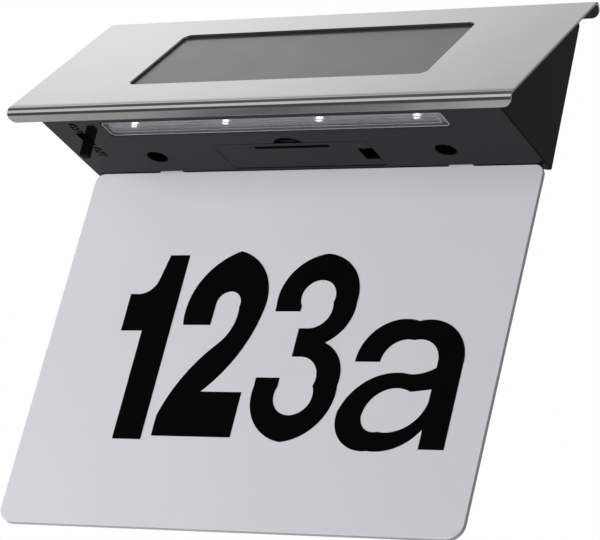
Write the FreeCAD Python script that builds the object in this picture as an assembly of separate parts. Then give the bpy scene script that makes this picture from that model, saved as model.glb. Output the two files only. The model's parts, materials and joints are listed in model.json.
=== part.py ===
# Solar house number sign: a folded steel roof with a solar cell, a black lamp housing that hangs on
# two wall screws, and a white number panel below it.
#
# Lengths are millimetres and angles are degrees. X runs to the right, Y into the wall, Z up.
# The wall is the plane y = 0. Every piece is drawn with z = 0 at the housing's underside, and is
# moved down when it is saved, so that the origin lies midway between the two wall screws.
import FreeCAD, Part
import math
import os

# Roof cover, a folded sheet
ROOF_OVERHANG = 8.3         # beyond the housing's ends
ROOF_SLOPE = 82.0           # bend to bend, along the slope
ROOF_PITCH = 51.7           # from level
ROOF_WALL_GAP = 6.3         # upper bend to the wall
ROOF_DROP = 0.95            # lower bend below the underside
SHEET = 0.8
FRONT_BEND_RADIUS = 2.6     # outside of the fold
REAR_BEND_RADIUS = 1.8
FRONT_FLANGE = 5.0
REAR_FLANGE = 6.5
FLANGE_CORNER = 3.5
WINDOW_WIDTH = 119.4
WINDOW_LENGTH = 46.3        # along the slope
WINDOW_FROM_FRONT = 20.2
WINDOW_CORNER = 3.0
TAPE_THICKNESS = 0.5
TAPE_MARGIN = 2.5           # from the tray's ends
TAPE_BREADTH = 8.0

# Solar cell and its tray
CELL_BORDER = 2.8           # hidden by the sheet, all round
CELL_SINK = 0.3             # face below the sheet's inside
CELL_THICKNESS = 1.8
CELL_PAD = 0.4
TRAY_THICKNESS = 2.0
TRAY_FLOOR = 1.5
CABLE_ROOM = 0.6            # about the cell's lead, where it passes the tray
SOLAR_LEAD_INSET = 22.5     # from the cell's left edge

# Housing
WALL = 2.0
HOUSING_EDGE = 0.6          # rounding of the lower edges of its ends
GAP = 0.2                   # between pieces that fit in one another
FLANGE_GAP = 0.4            # between housing and the roof's rear flange
RAIL_BREADTH = 1.5
RAIL_DEPTH = 2.0
REAR_PLATE_THICKNESS = 1.8

# Number panel and its tongues
PANEL_MARGIN = 0.7          # from the housing's ends
PANEL_DROP = 141.5          # shoulder to foot
PANEL_THICKNESS = 2.0
PANEL_LEAN = 2.9            # foot towards the viewer
PANEL_SETBACK = 4.7         # front face to the wall, at the underside
PANEL_TOP_CORNER = 3.5
PANEL_FOOT_CORNER = 6.0
SHOULDER_GAP = 0.2
TONGUE_X = 59.0
TONGUE_WIDTH = 9.6
TONGUE_HEIGHT = 14.0
TONGUE_NOTCH_DEPTH = 0.8
PEG_RADIUS = 2.0
PEG_HEIGHT = 8.5            # peg above the underside
PEG_CLEARANCE = 0.2
PEG_PROUD = 1.0             # in front of the tongue

# Stick-on figures, each placed by its left edge and its foot below the underside along the panel
FILM = 0.15
GRID_STEP = 1.0             # a numeral is 73.4 steps high
NUMBER_1_PLACE = (-61.6, 108.4)
NUMBER_2_PLACE = (-37.2, 106.9)
NUMBER_3_PLACE = (-1.0, 108.2)
LETTER_A_PLACE = (34.0, 110.7)

# Wall screws
WALL_SCREW_X = 60.0
WALL_SCREW_HEIGHT = 36.0    # above the underside
KEYHOLE_RADIUS = 4.2
KEYHOLE_SLOT = 4.4
KEYHOLE_RISE = 6.5
POCKET_DEPTH = 6.5
POCKET_WALL = 1.2
POCKET_MARGIN = 1.5

# Screws
HOUSING_SCREW_X = 58.4
HOUSING_SCREW_FROM_WALL = 16.7
SCREW_WELL_RADIUS = 4.0
SCREW_WELL_DEPTH = 9.0
SCREW_BOSS_WIDTH = 10.8
SCREW_BOSS_HEIGHT = 15.0
HOUSING_SCREW_HOLE = 1.7    # radius
HOUSING_SCREW_LENGTH = 16.0
TRAY_BOSS_WIDTH = 7.2
SCREW_SHANK_RADIUS = 1.4
SCREW_HEAD_RADIUS = 2.8
SCREW_HEAD_HEIGHT = 2.0
REAR_SCREW_INSET = 6.3      # from the housing's ends
REAR_SCREW_HEIGHTS = (8.0, 40.0)
REAR_BOSS_WIDTH = 6.0
REAR_BOSS_LENGTH = 11.0
REAR_SCREW_LENGTH = 9.0
CROSS_LENGTH = 3.2          # cross recess in every screw's head
CROSS_WIDTH = 0.7
CROSS_DEPTH = 1.0

# Lamp strip
LENS_LENGTH = 136.0
LENS_END_ROOM = 23.7        # lens's end to the housing's end
LENS_WIDTH = 9.6
LENS_FROM_WALL = 38.6
LENS_SKIN = 1.0
LENS_RIM = 1.2
LENS_CORNER = 1.6           # of the strip, in an opening with sharp corners
LENS_FLANGE = 1.6           # reach of the flange beyond the strip
LENS_FLANGE_THICKNESS = 1.0
LENS_HEIGHT = 4.4
LED_COUNT = 4
LED_INSET = 11.45           # end diode to the lens's end
LED_LENGTH = 3.5
LED_WIDTH = 2.8
LED_HEIGHT = 1.9
LED_WELL_MARGIN = 0.4       # rim of the package round its well
LED_WELL_TAPER = 0.3        # each side, from the rim to the well's floor
LED_WELL_DEPTH = 0.6
BOARD_THICKNESS = 1.0
LED_BOARD_WIDTH = 9.0

# Battery bay
LID_THICKNESS = 1.6
LID_FROM_WALL = 15.5        # lid's middle
LID_CORNER = 1.0
LID_GAP = 0.15
LID_LEDGE = 1.3             # the bay's walls overhang the lid
LATCH_LENGTH = 30.0
LATCH_SLOT_WIDTH = 1.7
LATCH_BEAM_WIDTH = 2.0
LATCH_TIP_WIDTH = 6.0
LATCH_TIP_REACH = 1.6
LATCH_TIP_RECESS = 0.4
FINGER_NOTCH_RADIUS = 6.6
FINGER_NOTCH_DEPTH = 4.1
LID_NOTCH_FROM_FRONT = 5.3
LID_NOTCH_LENGTH = 5.8
LID_NOTCH_WIDTH = 8.0
HINGE_PIN_RADIUS = 0.55
HINGE_PIN_LENGTH = 0.8
HINGE_CLEARANCE = 0.06
CELL_RADIUS = 7.1
CELL_LENGTH = 49.2
CELL_CAP_RADIUS = 2.7
CELL_CAP_HEIGHT = 1.2
CELL_RIM = 0.8
CELL_CLEARANCE = 0.6        # above and below the cell
CELL_SIDE_ROOM = 0.7
CONTACT_ROOM = 4.9          # cell's end to the bay's end, for the contact
BAY_WALL = 1.5
CONTACT_SHEET = 0.4
CONTACT_WIDTH = 9.0
CONTACT_HEIGHT = 13.0
CONTACT_PAD = 6.0

# Switch
SWITCH_INSET = 11.1         # from the housing's left end
SWITCH_FROM_WALL = 31.8
SWITCH_SLOT_LENGTH = 9.7
SWITCH_SLOT_WIDTH = 3.5
SWITCH_LENGTH = 15.0
SWITCH_WIDTH = 7.0
SWITCH_HEIGHT = 5.6
SWITCH_TIN = 0.4
KNOB_WIDTH = 2.9
KNOB_LENGTH = 3.2
KNOB_HANG = 6.2             # below the underside
KNOB_TRAVEL = 4.0           # from its rear stop, where it rests
KNOB_RIB_COUNT = 4
KNOB_RIB = 0.35
KNOB_RIB_MARGIN = 0.5
KNOB_TIP_RADIUS = 0.5
KNOB_SHOE_HEIGHT = 1.6
KNOB_SHOE_REACH = 1.2       # beyond the stem, along the travel
KNOB_CLEARANCE = 0.1

# Control board
CONTROL_LENGTH = 24.0
CONTROL_WIDTH = 18.0
CONTROL_FROM_WALL = 28.0
CONTROL_OFFSET = 1.2        # from the switch's middle
BOARD_SCREW_RADIUS = 1.0
BOARD_SCREW_HEAD = 1.2
BOARD_SCREW_LENGTH = 5.0
BOARD_POST_WIDTH = 3.8
BOARD_POST_INSET = 2.6
LEAD_WIDTH = 2.8            # flat, with two cores
LEAD_THICKNESS = 1.2
LEAD_BEND_SHARE = 0.45      # of the shorter run, taken by a bend
LEAD_RISE = 8.0             # straight stretch at each end
LED_LEAD_RISE = 5.5         # lower, to pass under the tray
LEAD_DETOUR = 16.0
LED_SOLDER = 5.0            # from the diode board's end
SOLDER_LEFT = 5.0           # from the control board's middle
SOLDER_RIGHT = 5.6
SOLDER_RIM = 2.6            # from its front edge
SOLAR_SOLDER = 3.4          # behind its middle
PIN_PITCH = 2.5
PIN_WIDTH = 0.6
PIN_LENGTH = 2.2
CHIP_LENGTH = 5.2
CHIP_THICKNESS = 1.6
CHIP_HEIGHT = 3.4
CHIP_PLACE = (4.0, 0.0)     # from the board's middle
CHIP_LEGS = 4
CHIP_LEG_PITCH = 1.27
CHIP_LEG_WIDTH = 0.4
CHIP_LEG_LENGTH = 1.6
INDUCTOR_LENGTH = 6.0
INDUCTOR_RADIUS = 1.5
INDUCTOR_PLACE = (4.4, 5.0)

TOLERANCE = 0.01            # for telling edges apart

PITCH = math.radians(ROOF_PITCH)
ROOF_REACH = ROOF_WALL_GAP + ROOF_SLOPE * math.cos(PITCH)
HALF_WIDTH = LENS_LENGTH / 2 + LENS_END_ROOM        # of the housing
ROOF_WIDTH = 2 * (HALF_WIDTH + ROOF_OVERHANG)
PANEL_WIDTH = 2 * (HALF_WIDTH - PANEL_MARGIN)
TRAY_WIDTH = 2 * (HALF_WIDTH - WALL - GAP)
REAR_SCREW_X = HALF_WIDTH - REAR_SCREW_INSET
SWITCH_X = SWITCH_INSET - HALF_WIDTH
CONTROL_X = SWITCH_X + CONTROL_OFFSET
LED_PITCH = (LENS_LENGTH - 2 * LED_INSET) / (LED_COUNT - 1)
TOP_DEPTH = SHEET + TAPE_THICKNESS                  # housing's top, below the roof's face
TRAY_BOTTOM = TOP_DEPTH + TRAY_THICKNESS
SLOPE_END = ROOF_SLOPE - SHEET - FLANGE_GAP
WINDOW_MIDDLE = WINDOW_FROM_FRONT + WINDOW_LENGTH / 2
CELL_WIDE = WINDOW_WIDTH + 2 * CELL_BORDER
CELL_LONG = WINDOW_LENGTH + 2 * CELL_BORDER
SOLAR_LEAD_X = SOLAR_LEAD_INSET - CELL_WIDE / 2
CELL_TOP = SHEET + CELL_SINK
CELL_BOTTOM = CELL_TOP + CELL_THICKNESS
POCKET_BOTTOM = CELL_BOTTOM + CELL_PAD
BAY_LENGTH = CELL_LENGTH + 2 * CONTACT_ROOM
BAY_WIDTH = 2 * (CELL_RADIUS + CELL_SIDE_ROOM)
LID_LENGTH = BAY_LENGTH + 2 * LID_LEDGE
LID_WIDTH = BAY_WIDTH + 2 * LID_LEDGE
BATTERY_HEIGHT = WALL + CELL_CLEARANCE + CELL_RADIUS
BAY_TOP = BATTERY_HEIGHT + CELL_RADIUS + CELL_CLEARANCE
SWITCH_TOP = WALL + SWITCH_HEIGHT
BOARD_TOP = SWITCH_TOP + BOARD_THICKNESS
X_AXIS = FreeCAD.Vector(1, 0, 0)
Y_AXIS = FreeCAD.Vector(0, 1, 0)
Z_AXIS = FreeCAD.Vector(0, 0, 1)


def slope_point(along, depth):
    """y and z of a place on the roof: so far up from the front bend, so far below the face."""
    y = -ROOF_REACH + along * math.cos(PITCH) + depth * math.sin(PITCH)
    z = -ROOF_DROP + along * math.sin(PITCH) - depth * math.cos(PITCH)
    return y, z


def slope_at_height(z, depth):
    """How far up the slope a layer at this depth reaches the height z."""
    return (z + ROOF_DROP + depth * math.cos(PITCH)) / math.sin(PITCH)


def height_under_roof(y, depth):
    """Height of a layer of the roof at this distance y."""
    along = (y + ROOF_REACH - depth * math.sin(PITCH)) / math.cos(PITCH)
    return slope_point(along, depth)[1]


def near(value, target):
    return abs(value - target) < TOLERANCE


def runs_along(edge, axis):
    """True for an edge that runs along the axis, either way."""
    return near(abs(edge.tangentAt(edge.FirstParameter).dot(axis)), 1)


def box(x0, x1, y0, y1, z0, z1):
    return Part.makeBox(x1 - x0, y1 - y0, z1 - z0, FreeCAD.Vector(x0, y0, z0))


def centred_box(x, y, length, width, z0, z1, corner=0.0):
    """Upright block about x, y, with its four upright edges rounded."""
    block = box(x - length / 2, x + length / 2, y - width / 2, y + width / 2, z0, z1)
    if corner:
        block = block.makeFillet(corner, [edge for edge in block.Edges if runs_along(edge, Z_AXIS)])
    return block


def rod(x, y, z, direction, radius, length):
    return Part.makeCylinder(radius, length, FreeCAD.Vector(x, y, z), direction)


def outline(start, steps, place):
    """Closed face. A step of two numbers is a line's end, one of four an arc's middle and end."""
    edges = []
    here = start
    for step in steps:
        end = step[-2:]
        if len(step) == 2:
            edges.append(Part.LineSegment(place(*here), place(*end)).toShape())
        else:
            edges.append(Part.Arc(place(*here), place(*step[:2]), place(*end)).toShape())
        here = end
    return Part.Face(Part.Wire(edges))


def profile(points, x0, x1):
    """Straight-sided section in Y and Z, drawn out from x0 to x1."""
    corners = [FreeCAD.Vector(x0, y, z) for y, z in points]
    face = Part.Face(Part.makePolygon(corners + corners[:1]))
    return face.extrude(FreeCAD.Vector(x1 - x0, 0, 0))


def on_slope(shape):
    """Lay a shape drawn flat, with Y up the slope and -Z below the roof's face, on the slope."""
    laid = shape.copy()
    laid.rotate(FreeCAD.Vector(0, 0, 0), X_AXIS, ROOF_PITCH)
    laid.translate(FreeCAD.Vector(0, -ROOF_REACH, -ROOF_DROP))
    return laid


def slope_block(width, along, length, depth0, depth1):
    """Block on the slope, centred on the sign, whose middle is so far along."""
    return on_slope(centred_box(0, along, width, length, -depth1, -depth0))


def joined(first, *others):
    return first.fuse(list(others)).removeSplitter()


def pair(make, x):
    """The same piece at x and at -x, as two solids."""
    return Part.makeCompound([make(-x), make(x)])


def save(name, shape):
    """Move a piece to the sign's origin and write it."""
    placed = shape.copy()
    placed.translate(FreeCAD.Vector(0, 0, -WALL_SCREW_HEIGHT))
    placed.exportStep("parts/" + name + ".step")


# --- Roof ---------------------------------------------------------------------------------------

def quarter_middle(centre, radius):
    """Middle of a quarter bend, along each of its flats from the sheet's sharp outer corner."""
    return centre - radius / math.sqrt(2)


def roof_cover():
    """Folded sheet: plate, front and rear flange with round corners, and the cell's window."""
    front = FRONT_BEND_RADIUS
    front_outer = quarter_middle(front, front)
    front_inner = quarter_middle(front, front - SHEET)
    rear = REAR_BEND_RADIUS
    rear_outer = quarter_middle(rear, rear)
    rear_inner = quarter_middle(rear, rear - SHEET)
    end = ROOF_SLOPE
    steps = [
        (0, -front),
        (front_outer, -front_outer, front, 0),
        (end - rear, 0),
        (end - rear_outer, -rear_outer, end, -rear),
        (end, -REAR_FLANGE),
        (end - SHEET, -REAR_FLANGE),
        (end - SHEET, -rear),
        (end - rear_inner, -rear_inner, end - rear, -SHEET),
        (front, -SHEET),
        (front_inner, -front_inner, SHEET, -front),
        (SHEET, -FRONT_FLANGE),
        (0, -FRONT_FLANGE),
    ]
    half = ROOF_WIDTH / 2
    section = outline((0, -FRONT_FLANGE), steps, lambda s, z: FreeCAD.Vector(-half, s, z))
    sheet = section.extrude(FreeCAD.Vector(ROOF_WIDTH, 0, 0))
    corners = [edge for edge in sheet.Edges if is_flange_corner(edge)]
    sheet = sheet.makeFillet(FLANGE_CORNER, corners)
    window = centred_box(0, WINDOW_MIDDLE, WINDOW_WIDTH, WINDOW_LENGTH, -TOP_DEPTH, SHEET, WINDOW_CORNER)
    return on_slope(sheet.cut(window))


def is_flange_corner(edge):
    """True for the short edges, through the sheet, at the free corners of both flanges."""
    ends = [vertex.Point for vertex in edge.Vertexes]
    if len(ends) != 2 or not near(edge.Length, SHEET) or not runs_along(edge, Y_AXIS):
        return False
    lowest = min(point.z for point in ends)
    return near(lowest, -FRONT_FLANGE) or near(lowest, -REAR_FLANGE)


def roof_tapes():
    """Two adhesive strips between the sheet and the tray, above and below the window."""
    low = (FRONT_BEND_RADIUS + WINDOW_FROM_FRONT) / 2 + TRAY_THICKNESS / 2
    high = (WINDOW_FROM_FRONT + WINDOW_LENGTH + SLOPE_END) / 2
    length = TRAY_WIDTH - 2 * TAPE_MARGIN
    strips = [slope_block(length, along, TAPE_BREADTH, SHEET, TOP_DEPTH) for along in (low, high)]
    return Part.makeCompound(strips)


def solar_cell():
    return slope_block(CELL_WIDE, WINDOW_MIDDLE, CELL_LONG, CELL_TOP, CELL_BOTTOM)


def cell_pad():
    """Foam tape frame under the cell's rim."""
    inset = 2 * TAPE_BREADTH
    pad = slope_block(CELL_WIDE, WINDOW_MIDDLE, CELL_LONG, CELL_BOTTOM, POCKET_BOTTOM)
    hollow = slope_block(CELL_WIDE - inset, WINDOW_MIDDLE, CELL_LONG - inset, CELL_BOTTOM, POCKET_BOTTOM)
    return pad.cut(hollow)


def top_tray():
    """Tray under the roof: sloping plate, sunk pocket for the cell, rear skirt, two screw bosses."""
    front = slope_at_height(WALL + GAP, TRAY_BOTTOM)
    middle = (front + SLOPE_END) / 2
    plate = slope_block(TRAY_WIDTH, middle, SLOPE_END - front, TOP_DEPTH, TRAY_BOTTOM)
    pocket_width = CELL_WIDE + 2 * GAP
    pocket_length = CELL_LONG + 2 * GAP
    basin = slope_block(pocket_width + 2 * TRAY_FLOOR, WINDOW_MIDDLE, pocket_length + 2 * TRAY_FLOOR,
                        TRAY_BOTTOM - TRAY_THICKNESS / 2, POCKET_BOTTOM + TRAY_FLOOR)
    skirt_foot = rear_plate_top() + GAP
    skirt = profile(skirt_section(skirt_foot), -TRAY_WIDTH / 2, TRAY_WIDTH / 2)
    tray = joined(plate, basin, skirt)
    for x in (-HOUSING_SCREW_X, HOUSING_SCREW_X):
        tray = joined(tray, tray_boss(x))
    tray = tray.cut(slope_block(pocket_width, WINDOW_MIDDLE, pocket_length, 0, POCKET_BOTTOM))
    opening = LEAD_WIDTH + 2 * CABLE_ROOM
    hole = centred_box(SOLAR_LEAD_X, WINDOW_MIDDLE, opening, opening, -2 * TRAY_BOTTOM, 0)
    tray = tray.cut(on_slope(hole))
    for x in (-HOUSING_SCREW_X, HOUSING_SCREW_X):
        pilot = rod(x, -HOUSING_SCREW_FROM_WALL, SCREW_BOSS_HEIGHT, Z_AXIS, SCREW_SHANK_RADIUS,
                    HOUSING_SCREW_LENGTH)
        tray = tray.cut(pilot)
    return tray


def tray_boss(x):
    """Post from the tray down to the housing's boss, cut off inside the tray's plate."""
    top = height_under_roof(-HOUSING_SCREW_FROM_WALL, 0)
    foot = SCREW_BOSS_HEIGHT + GAP
    post = centred_box(x, -HOUSING_SCREW_FROM_WALL, TRAY_BOSS_WIDTH, TRAY_BOSS_WIDTH, foot, top)
    above = slope_block(ROOF_WIDTH, ROOF_SLOPE / 2, 2 * ROOF_SLOPE, -TOP_DEPTH - ROOF_SLOPE,
                        TRAY_BOTTOM - TRAY_THICKNESS / 2)
    return post.cut(above)


def skirt_section(foot):
    """The tray's rear skirt, under the roof's rear flange, down to the rear plate."""
    inner = SLOPE_END - TRAY_THICKNESS
    inner_top = slope_point(inner, TOP_DEPTH)
    outer_top = slope_point(SLOPE_END, TOP_DEPTH)
    wall_foot = height_on_skirt(0, SLOPE_END)
    inner_foot_y = skirt_at_height(foot, inner)
    return [inner_top, outer_top, (0, wall_foot), (0, foot), (inner_foot_y, foot)]


def height_on_skirt(y, along):
    """Height where the face square to the roof, so far along it, stands at y."""
    depth = (y + ROOF_REACH - along * math.cos(PITCH)) / math.sin(PITCH)
    return slope_point(along, depth)[1]


def skirt_at_height(z, along):
    """Distance y where the face square to the roof, so far along it, has the height z."""
    depth = (-ROOF_DROP + along * math.sin(PITCH) - z) / math.cos(PITCH)
    return slope_point(along, depth)[0]


# --- Housing ------------------------------------------------------------------------------------

def side_section():
    """Outline of the housing's triangular end."""
    front = slope_point(slope_at_height(0, TOP_DEPTH), TOP_DEPTH)
    top = slope_point(SLOPE_END, TOP_DEPTH)
    return [front, top, (0, height_on_skirt(0, SLOPE_END)), (0, 0)]


def rear_plate_top():
    return height_on_skirt(0, SLOPE_END) - TRAY_THICKNESS


def housing_shell():
    """Underside, two ends and front lip, with the battery bay, the bosses and the tray's rails."""
    ends = [profile(side_section(), side * HALF_WIDTH, side * (HALF_WIDTH - WALL)) for side in (-1, 1)]
    front_y, front_z = slope_point(slope_at_height(0, TOP_DEPTH), TOP_DEPTH)
    lip_top = slope_point(slope_at_height(WALL, TRAY_BOTTOM) - GAP, TOP_DEPTH)
    lip_foot = slope_point(slope_at_height(WALL, TRAY_BOTTOM) - GAP, TRAY_BOTTOM)
    floor = profile([(front_y, front_z), lip_top, lip_foot, (-PANEL_SETBACK, WALL), (-PANEL_SETBACK, 0)],
                    -HALF_WIDTH, HALF_WIDTH)
    shell = round_lower_ends(joined(floor, *ends))
    shell = joined(shell, *(tray_rail(side) for side in (-1, 1)))
    shell = joined(shell, bay_block())
    for x in (-HOUSING_SCREW_X, HOUSING_SCREW_X):
        shell = joined(shell, centred_box(x, -HOUSING_SCREW_FROM_WALL, SCREW_BOSS_WIDTH, SCREW_BOSS_WIDTH,
                                          0, SCREW_BOSS_HEIGHT))
    shell = joined(shell, *rear_bosses())
    shell = joined(shell, *board_posts())
    for cut in (bay_hollow(), lens_opening(), switch_slot(), finger_notch(), *hinge_holes()):
        shell = shell.cut(cut)
    y = -HOUSING_SCREW_FROM_WALL
    for x in (-HOUSING_SCREW_X, HOUSING_SCREW_X):
        shell = shell.cut(rod(x, y, 0, Z_AXIS, SCREW_WELL_RADIUS, SCREW_WELL_DEPTH))
        shell = shell.cut(rod(x, y, 0, Z_AXIS, HOUSING_SCREW_HOLE, SCREW_BOSS_HEIGHT))
    half = TONGUE_WIDTH / 2 + GAP
    edge = -PANEL_SETBACK
    for x in (-TONGUE_X, TONGUE_X):
        shell = shell.cut(box(x - half, x + half, edge - TONGUE_NOTCH_DEPTH, edge, 0, WALL))
    return shell


def round_lower_ends(shell):
    """Round the two long edges between the underside and the ends."""
    edges = [edge for edge in shell.Edges if near(edge.CenterOfMass.z, 0)
             and near(abs(edge.CenterOfMass.x), HALF_WIDTH)]
    return shell.makeFillet(HOUSING_EDGE, edges)


def tray_rail(side):
    """Ledge on the inside of an end, under the tray."""
    inner = HALF_WIDTH - WALL
    depth = TRAY_BOTTOM + GAP / 2
    front = slope_at_height(WALL, depth)
    rear = SLOPE_END - TRAY_THICKNESS - GAP
    length = rear - front
    rail = centred_box(side * (inner - RAIL_BREADTH / 2), (front + rear) / 2, RAIL_BREADTH, length,
                       -depth - RAIL_DEPTH, -depth)
    return on_slope(rail)


def bay_block():
    """Walls and roof of the battery bay, as one block."""
    return centred_box(0, -LID_FROM_WALL, BAY_LENGTH + 2 * BAY_WALL, BAY_WIDTH + 2 * BAY_WALL, 0,
                       BAY_TOP + BAY_WALL)


def bay_hollow():
    """Room for the cell, and the wider seat of the lid below it."""
    room = centred_box(0, -LID_FROM_WALL, BAY_LENGTH, BAY_WIDTH, 0, BAY_TOP)
    return room.fuse(lid_block(LID_GAP, LID_THICKNESS + LID_GAP))


def lid_block(grow, height):
    """Block of the lid's outline, with its two front corners rounded, grown all round."""
    y = -LID_FROM_WALL
    block = centred_box(0, y, LID_LENGTH + 2 * grow, LID_WIDTH + 2 * grow, 0, height)
    corners = [edge for edge in block.Edges if runs_along(edge, Z_AXIS) and edge.CenterOfMass.y < y]
    return block.makeFillet(LID_CORNER, corners)


def lens_opening():
    return centred_box(0, -LENS_FROM_WALL, LENS_LENGTH + 2 * GAP, LENS_WIDTH + 2 * GAP, 0, WALL)


def switch_slot():
    return centred_box(SWITCH_X, -SWITCH_FROM_WALL, SWITCH_SLOT_WIDTH, SWITCH_SLOT_LENGTH, 0, WALL)


def finger_notch():
    """Half-moon at the lid's front edge, where a fingernail reaches the latch."""
    edge = -LID_FROM_WALL - LID_WIDTH / 2
    centre = edge + FINGER_NOTCH_RADIUS - FINGER_NOTCH_DEPTH
    disc = rod(0, centre, 0, Z_AXIS, FINGER_NOTCH_RADIUS, LID_THICKNESS + LID_GAP)
    return disc.common(box(-LID_LENGTH, LID_LENGTH, edge - LID_WIDTH, edge, 0, WALL))


def hinge_place():
    """y and z of the lid's hinge line."""
    return -LID_FROM_WALL + LID_WIDTH / 2 - LID_THICKNESS / 2, LID_THICKNESS / 2


def hinge_holes():
    y, z = hinge_place()
    start = LID_LENGTH / 2
    length = LID_GAP + HINGE_PIN_LENGTH
    radius = HINGE_PIN_RADIUS + HINGE_CLEARANCE
    return [rod(side * start, y, z, side * X_AXIS, radius, length) for side in (-1, 1)]


def rear_bosses():
    """Blocks on the insides of the ends, for the rear plate's screws."""
    bosses = []
    rear = -REAR_PLATE_THICKNESS
    half = REAR_BOSS_WIDTH / 2
    inner = REAR_SCREW_X - half
    outer = HALF_WIDTH - WALL / 2
    for side in (-1, 1):
        for height in REAR_SCREW_HEIGHTS:
            block = centred_box(side * (inner + outer) / 2, rear - REAR_BOSS_LENGTH / 2, outer - inner,
                                REAR_BOSS_LENGTH, height - half, height + half)
            pilot = rod(side * REAR_SCREW_X, rear, height, -Y_AXIS, SCREW_SHANK_RADIUS, REAR_SCREW_LENGTH)
            bosses.append(block.cut(pilot))
    return bosses


def post_places():
    """The control board's two screws, at its rear corners."""
    dx = CONTROL_WIDTH / 2 - BOARD_POST_INSET
    y = -CONTROL_FROM_WALL + CONTROL_LENGTH / 2 - BOARD_POST_INSET
    return [(CONTROL_X + dx, y), (CONTROL_X - dx, y)]


def board_posts():
    posts = []
    for x, y in post_places():
        post = centred_box(x, y, BOARD_POST_WIDTH, BOARD_POST_WIDTH, WALL / 2, SWITCH_TOP)
        pilot = rod(x, y, WALL, Z_AXIS, BOARD_SCREW_RADIUS, SWITCH_TOP)
        posts.append(post.cut(pilot))
    return posts


def rear_plate():
    """Back of the housing: keyholes with closed pockets, pegs for the panel, screw holes."""
    half = TRAY_WIDTH / 2
    front = -REAR_PLATE_THICKNESS
    plate = box(-half, half, front, 0, GAP, rear_plate_top())
    for x in (-WALL_SCREW_X, WALL_SCREW_X):
        plate = joined(plate, keyhole_room(x, POCKET_MARGIN + POCKET_WALL, POCKET_WALL))
        plate = plate.cut(keyhole_room(x, POCKET_MARGIN, 0))
        plate = plate.cut(keyhole(x))
    peg_length = PANEL_SETBACK - REAR_PLATE_THICKNESS + PEG_PROUD
    for x in (-TONGUE_X, TONGUE_X):
        plate = joined(plate, rod(x, front, PEG_HEIGHT, -Y_AXIS, PEG_RADIUS, peg_length))
    for side in (-1, 1):
        for height in REAR_SCREW_HEIGHTS:
            place = FreeCAD.Vector(side * REAR_SCREW_X, 0, height)
            sink = Part.makeCone(SCREW_HEAD_RADIUS + GAP, HOUSING_SCREW_HOLE, REAR_PLATE_THICKNESS,
                                 place, -Y_AXIS)
            plate = plate.cut(sink)
    return plate


def keyhole_room(x, margin, skin):
    """Block around a wall screw's head, on the inside of the rear plate."""
    front = -REAR_PLATE_THICKNESS
    low = WALL_SCREW_HEIGHT - KEYHOLE_RADIUS - margin
    high = WALL_SCREW_HEIGHT + KEYHOLE_RISE + KEYHOLE_RADIUS + margin
    half = KEYHOLE_RADIUS + margin
    return box(x - half, x + half, front - POCKET_DEPTH - skin, front, low, high)


def keyhole(x):
    """Round entry for the screw's head, and the slot above it for the shank."""
    thickness = REAR_PLATE_THICKNESS
    entry = rod(x, 0, WALL_SCREW_HEIGHT, -Y_AXIS, KEYHOLE_RADIUS, thickness)
    top = WALL_SCREW_HEIGHT + KEYHOLE_RISE
    slot = box(x - KEYHOLE_SLOT / 2, x + KEYHOLE_SLOT / 2, -thickness, 0, WALL_SCREW_HEIGHT, top)
    end = rod(x, 0, top, -Y_AXIS, KEYHOLE_SLOT / 2, thickness)
    return entry.fuse([slot, end])


# --- Number panel -------------------------------------------------------------------------------

def lean(shape):
    """Tip a piece drawn upright, with its front face at y = 0, about the panel's upper edge."""
    tipped = shape.copy()
    tipped.rotate(FreeCAD.Vector(0, 0, 0), X_AXIS, -PANEL_LEAN)
    tipped.translate(FreeCAD.Vector(0, -PANEL_SETBACK, 0))
    return tipped


def number_panel():
    """White sheet with round corners and two tongues that hang on the rear plate's pegs."""
    half = PANEL_WIDTH / 2
    sheet = box(-half, half, 0, PANEL_THICKNESS, -PANEL_DROP - SHOULDER_GAP, -SHOULDER_GAP)
    for radius, top in ((PANEL_TOP_CORNER, True), (PANEL_FOOT_CORNER, False)):
        corners = [edge for edge in sheet.Edges if runs_along(edge, Y_AXIS)
                   and near(abs(edge.CenterOfMass.x), half)
                   and (edge.CenterOfMass.z > -PANEL_DROP / 2) == top]
        sheet = sheet.makeFillet(radius, corners)
    lap = PANEL_TOP_CORNER
    for x in (-TONGUE_X, TONGUE_X):
        side = TONGUE_WIDTH / 2
        tongue = box(x - side, x + side, 0, PANEL_THICKNESS, -lap, TONGUE_HEIGHT)
        sheet = joined(sheet, tongue)
    for x in (-TONGUE_X, TONGUE_X):
        hole = rod(x, 0, PEG_HEIGHT, Y_AXIS, PEG_RADIUS + PEG_CLEARANCE, PANEL_THICKNESS)
        sheet = sheet.cut(hole)
    return lean(sheet)


# The figures are films stuck on by hand, so their feet are not quite level. Each is drawn with x to the
# right and y up from its lower left corner, counted in grid steps. An outline's step of two numbers is
# a line's end, one of four an arc's middle and end.

def film(drawing, place):
    """Set a figure drawn flat on the panel's front."""
    left, foot = place
    piece = drawing.copy()
    piece.rotate(FreeCAD.Vector(0, 0, 0), X_AXIS, 90)
    piece.translate(FreeCAD.Vector(left, 0, -foot))
    return lean(piece)


def grid_point(x, y):
    return FreeCAD.Vector(x * GRID_STEP, y * GRID_STEP, 0)


def figure(start, steps):
    return outline(start, steps, grid_point).extrude(FreeCAD.Vector(0, 0, FILM))


def number_1():
    """Upright stem with a heavy flag at its upper left."""
    steps = [(20.4, 0), (20.4, 73.4), (12.4, 73.4), (10.4, 63.4), (7.8, 59.2, 2.5, 57.6),
             (0, 57.6), (0, 42.8), (8.8, 42.8), (8.8, 0)]
    return figure((8.8, 0), steps)


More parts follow.
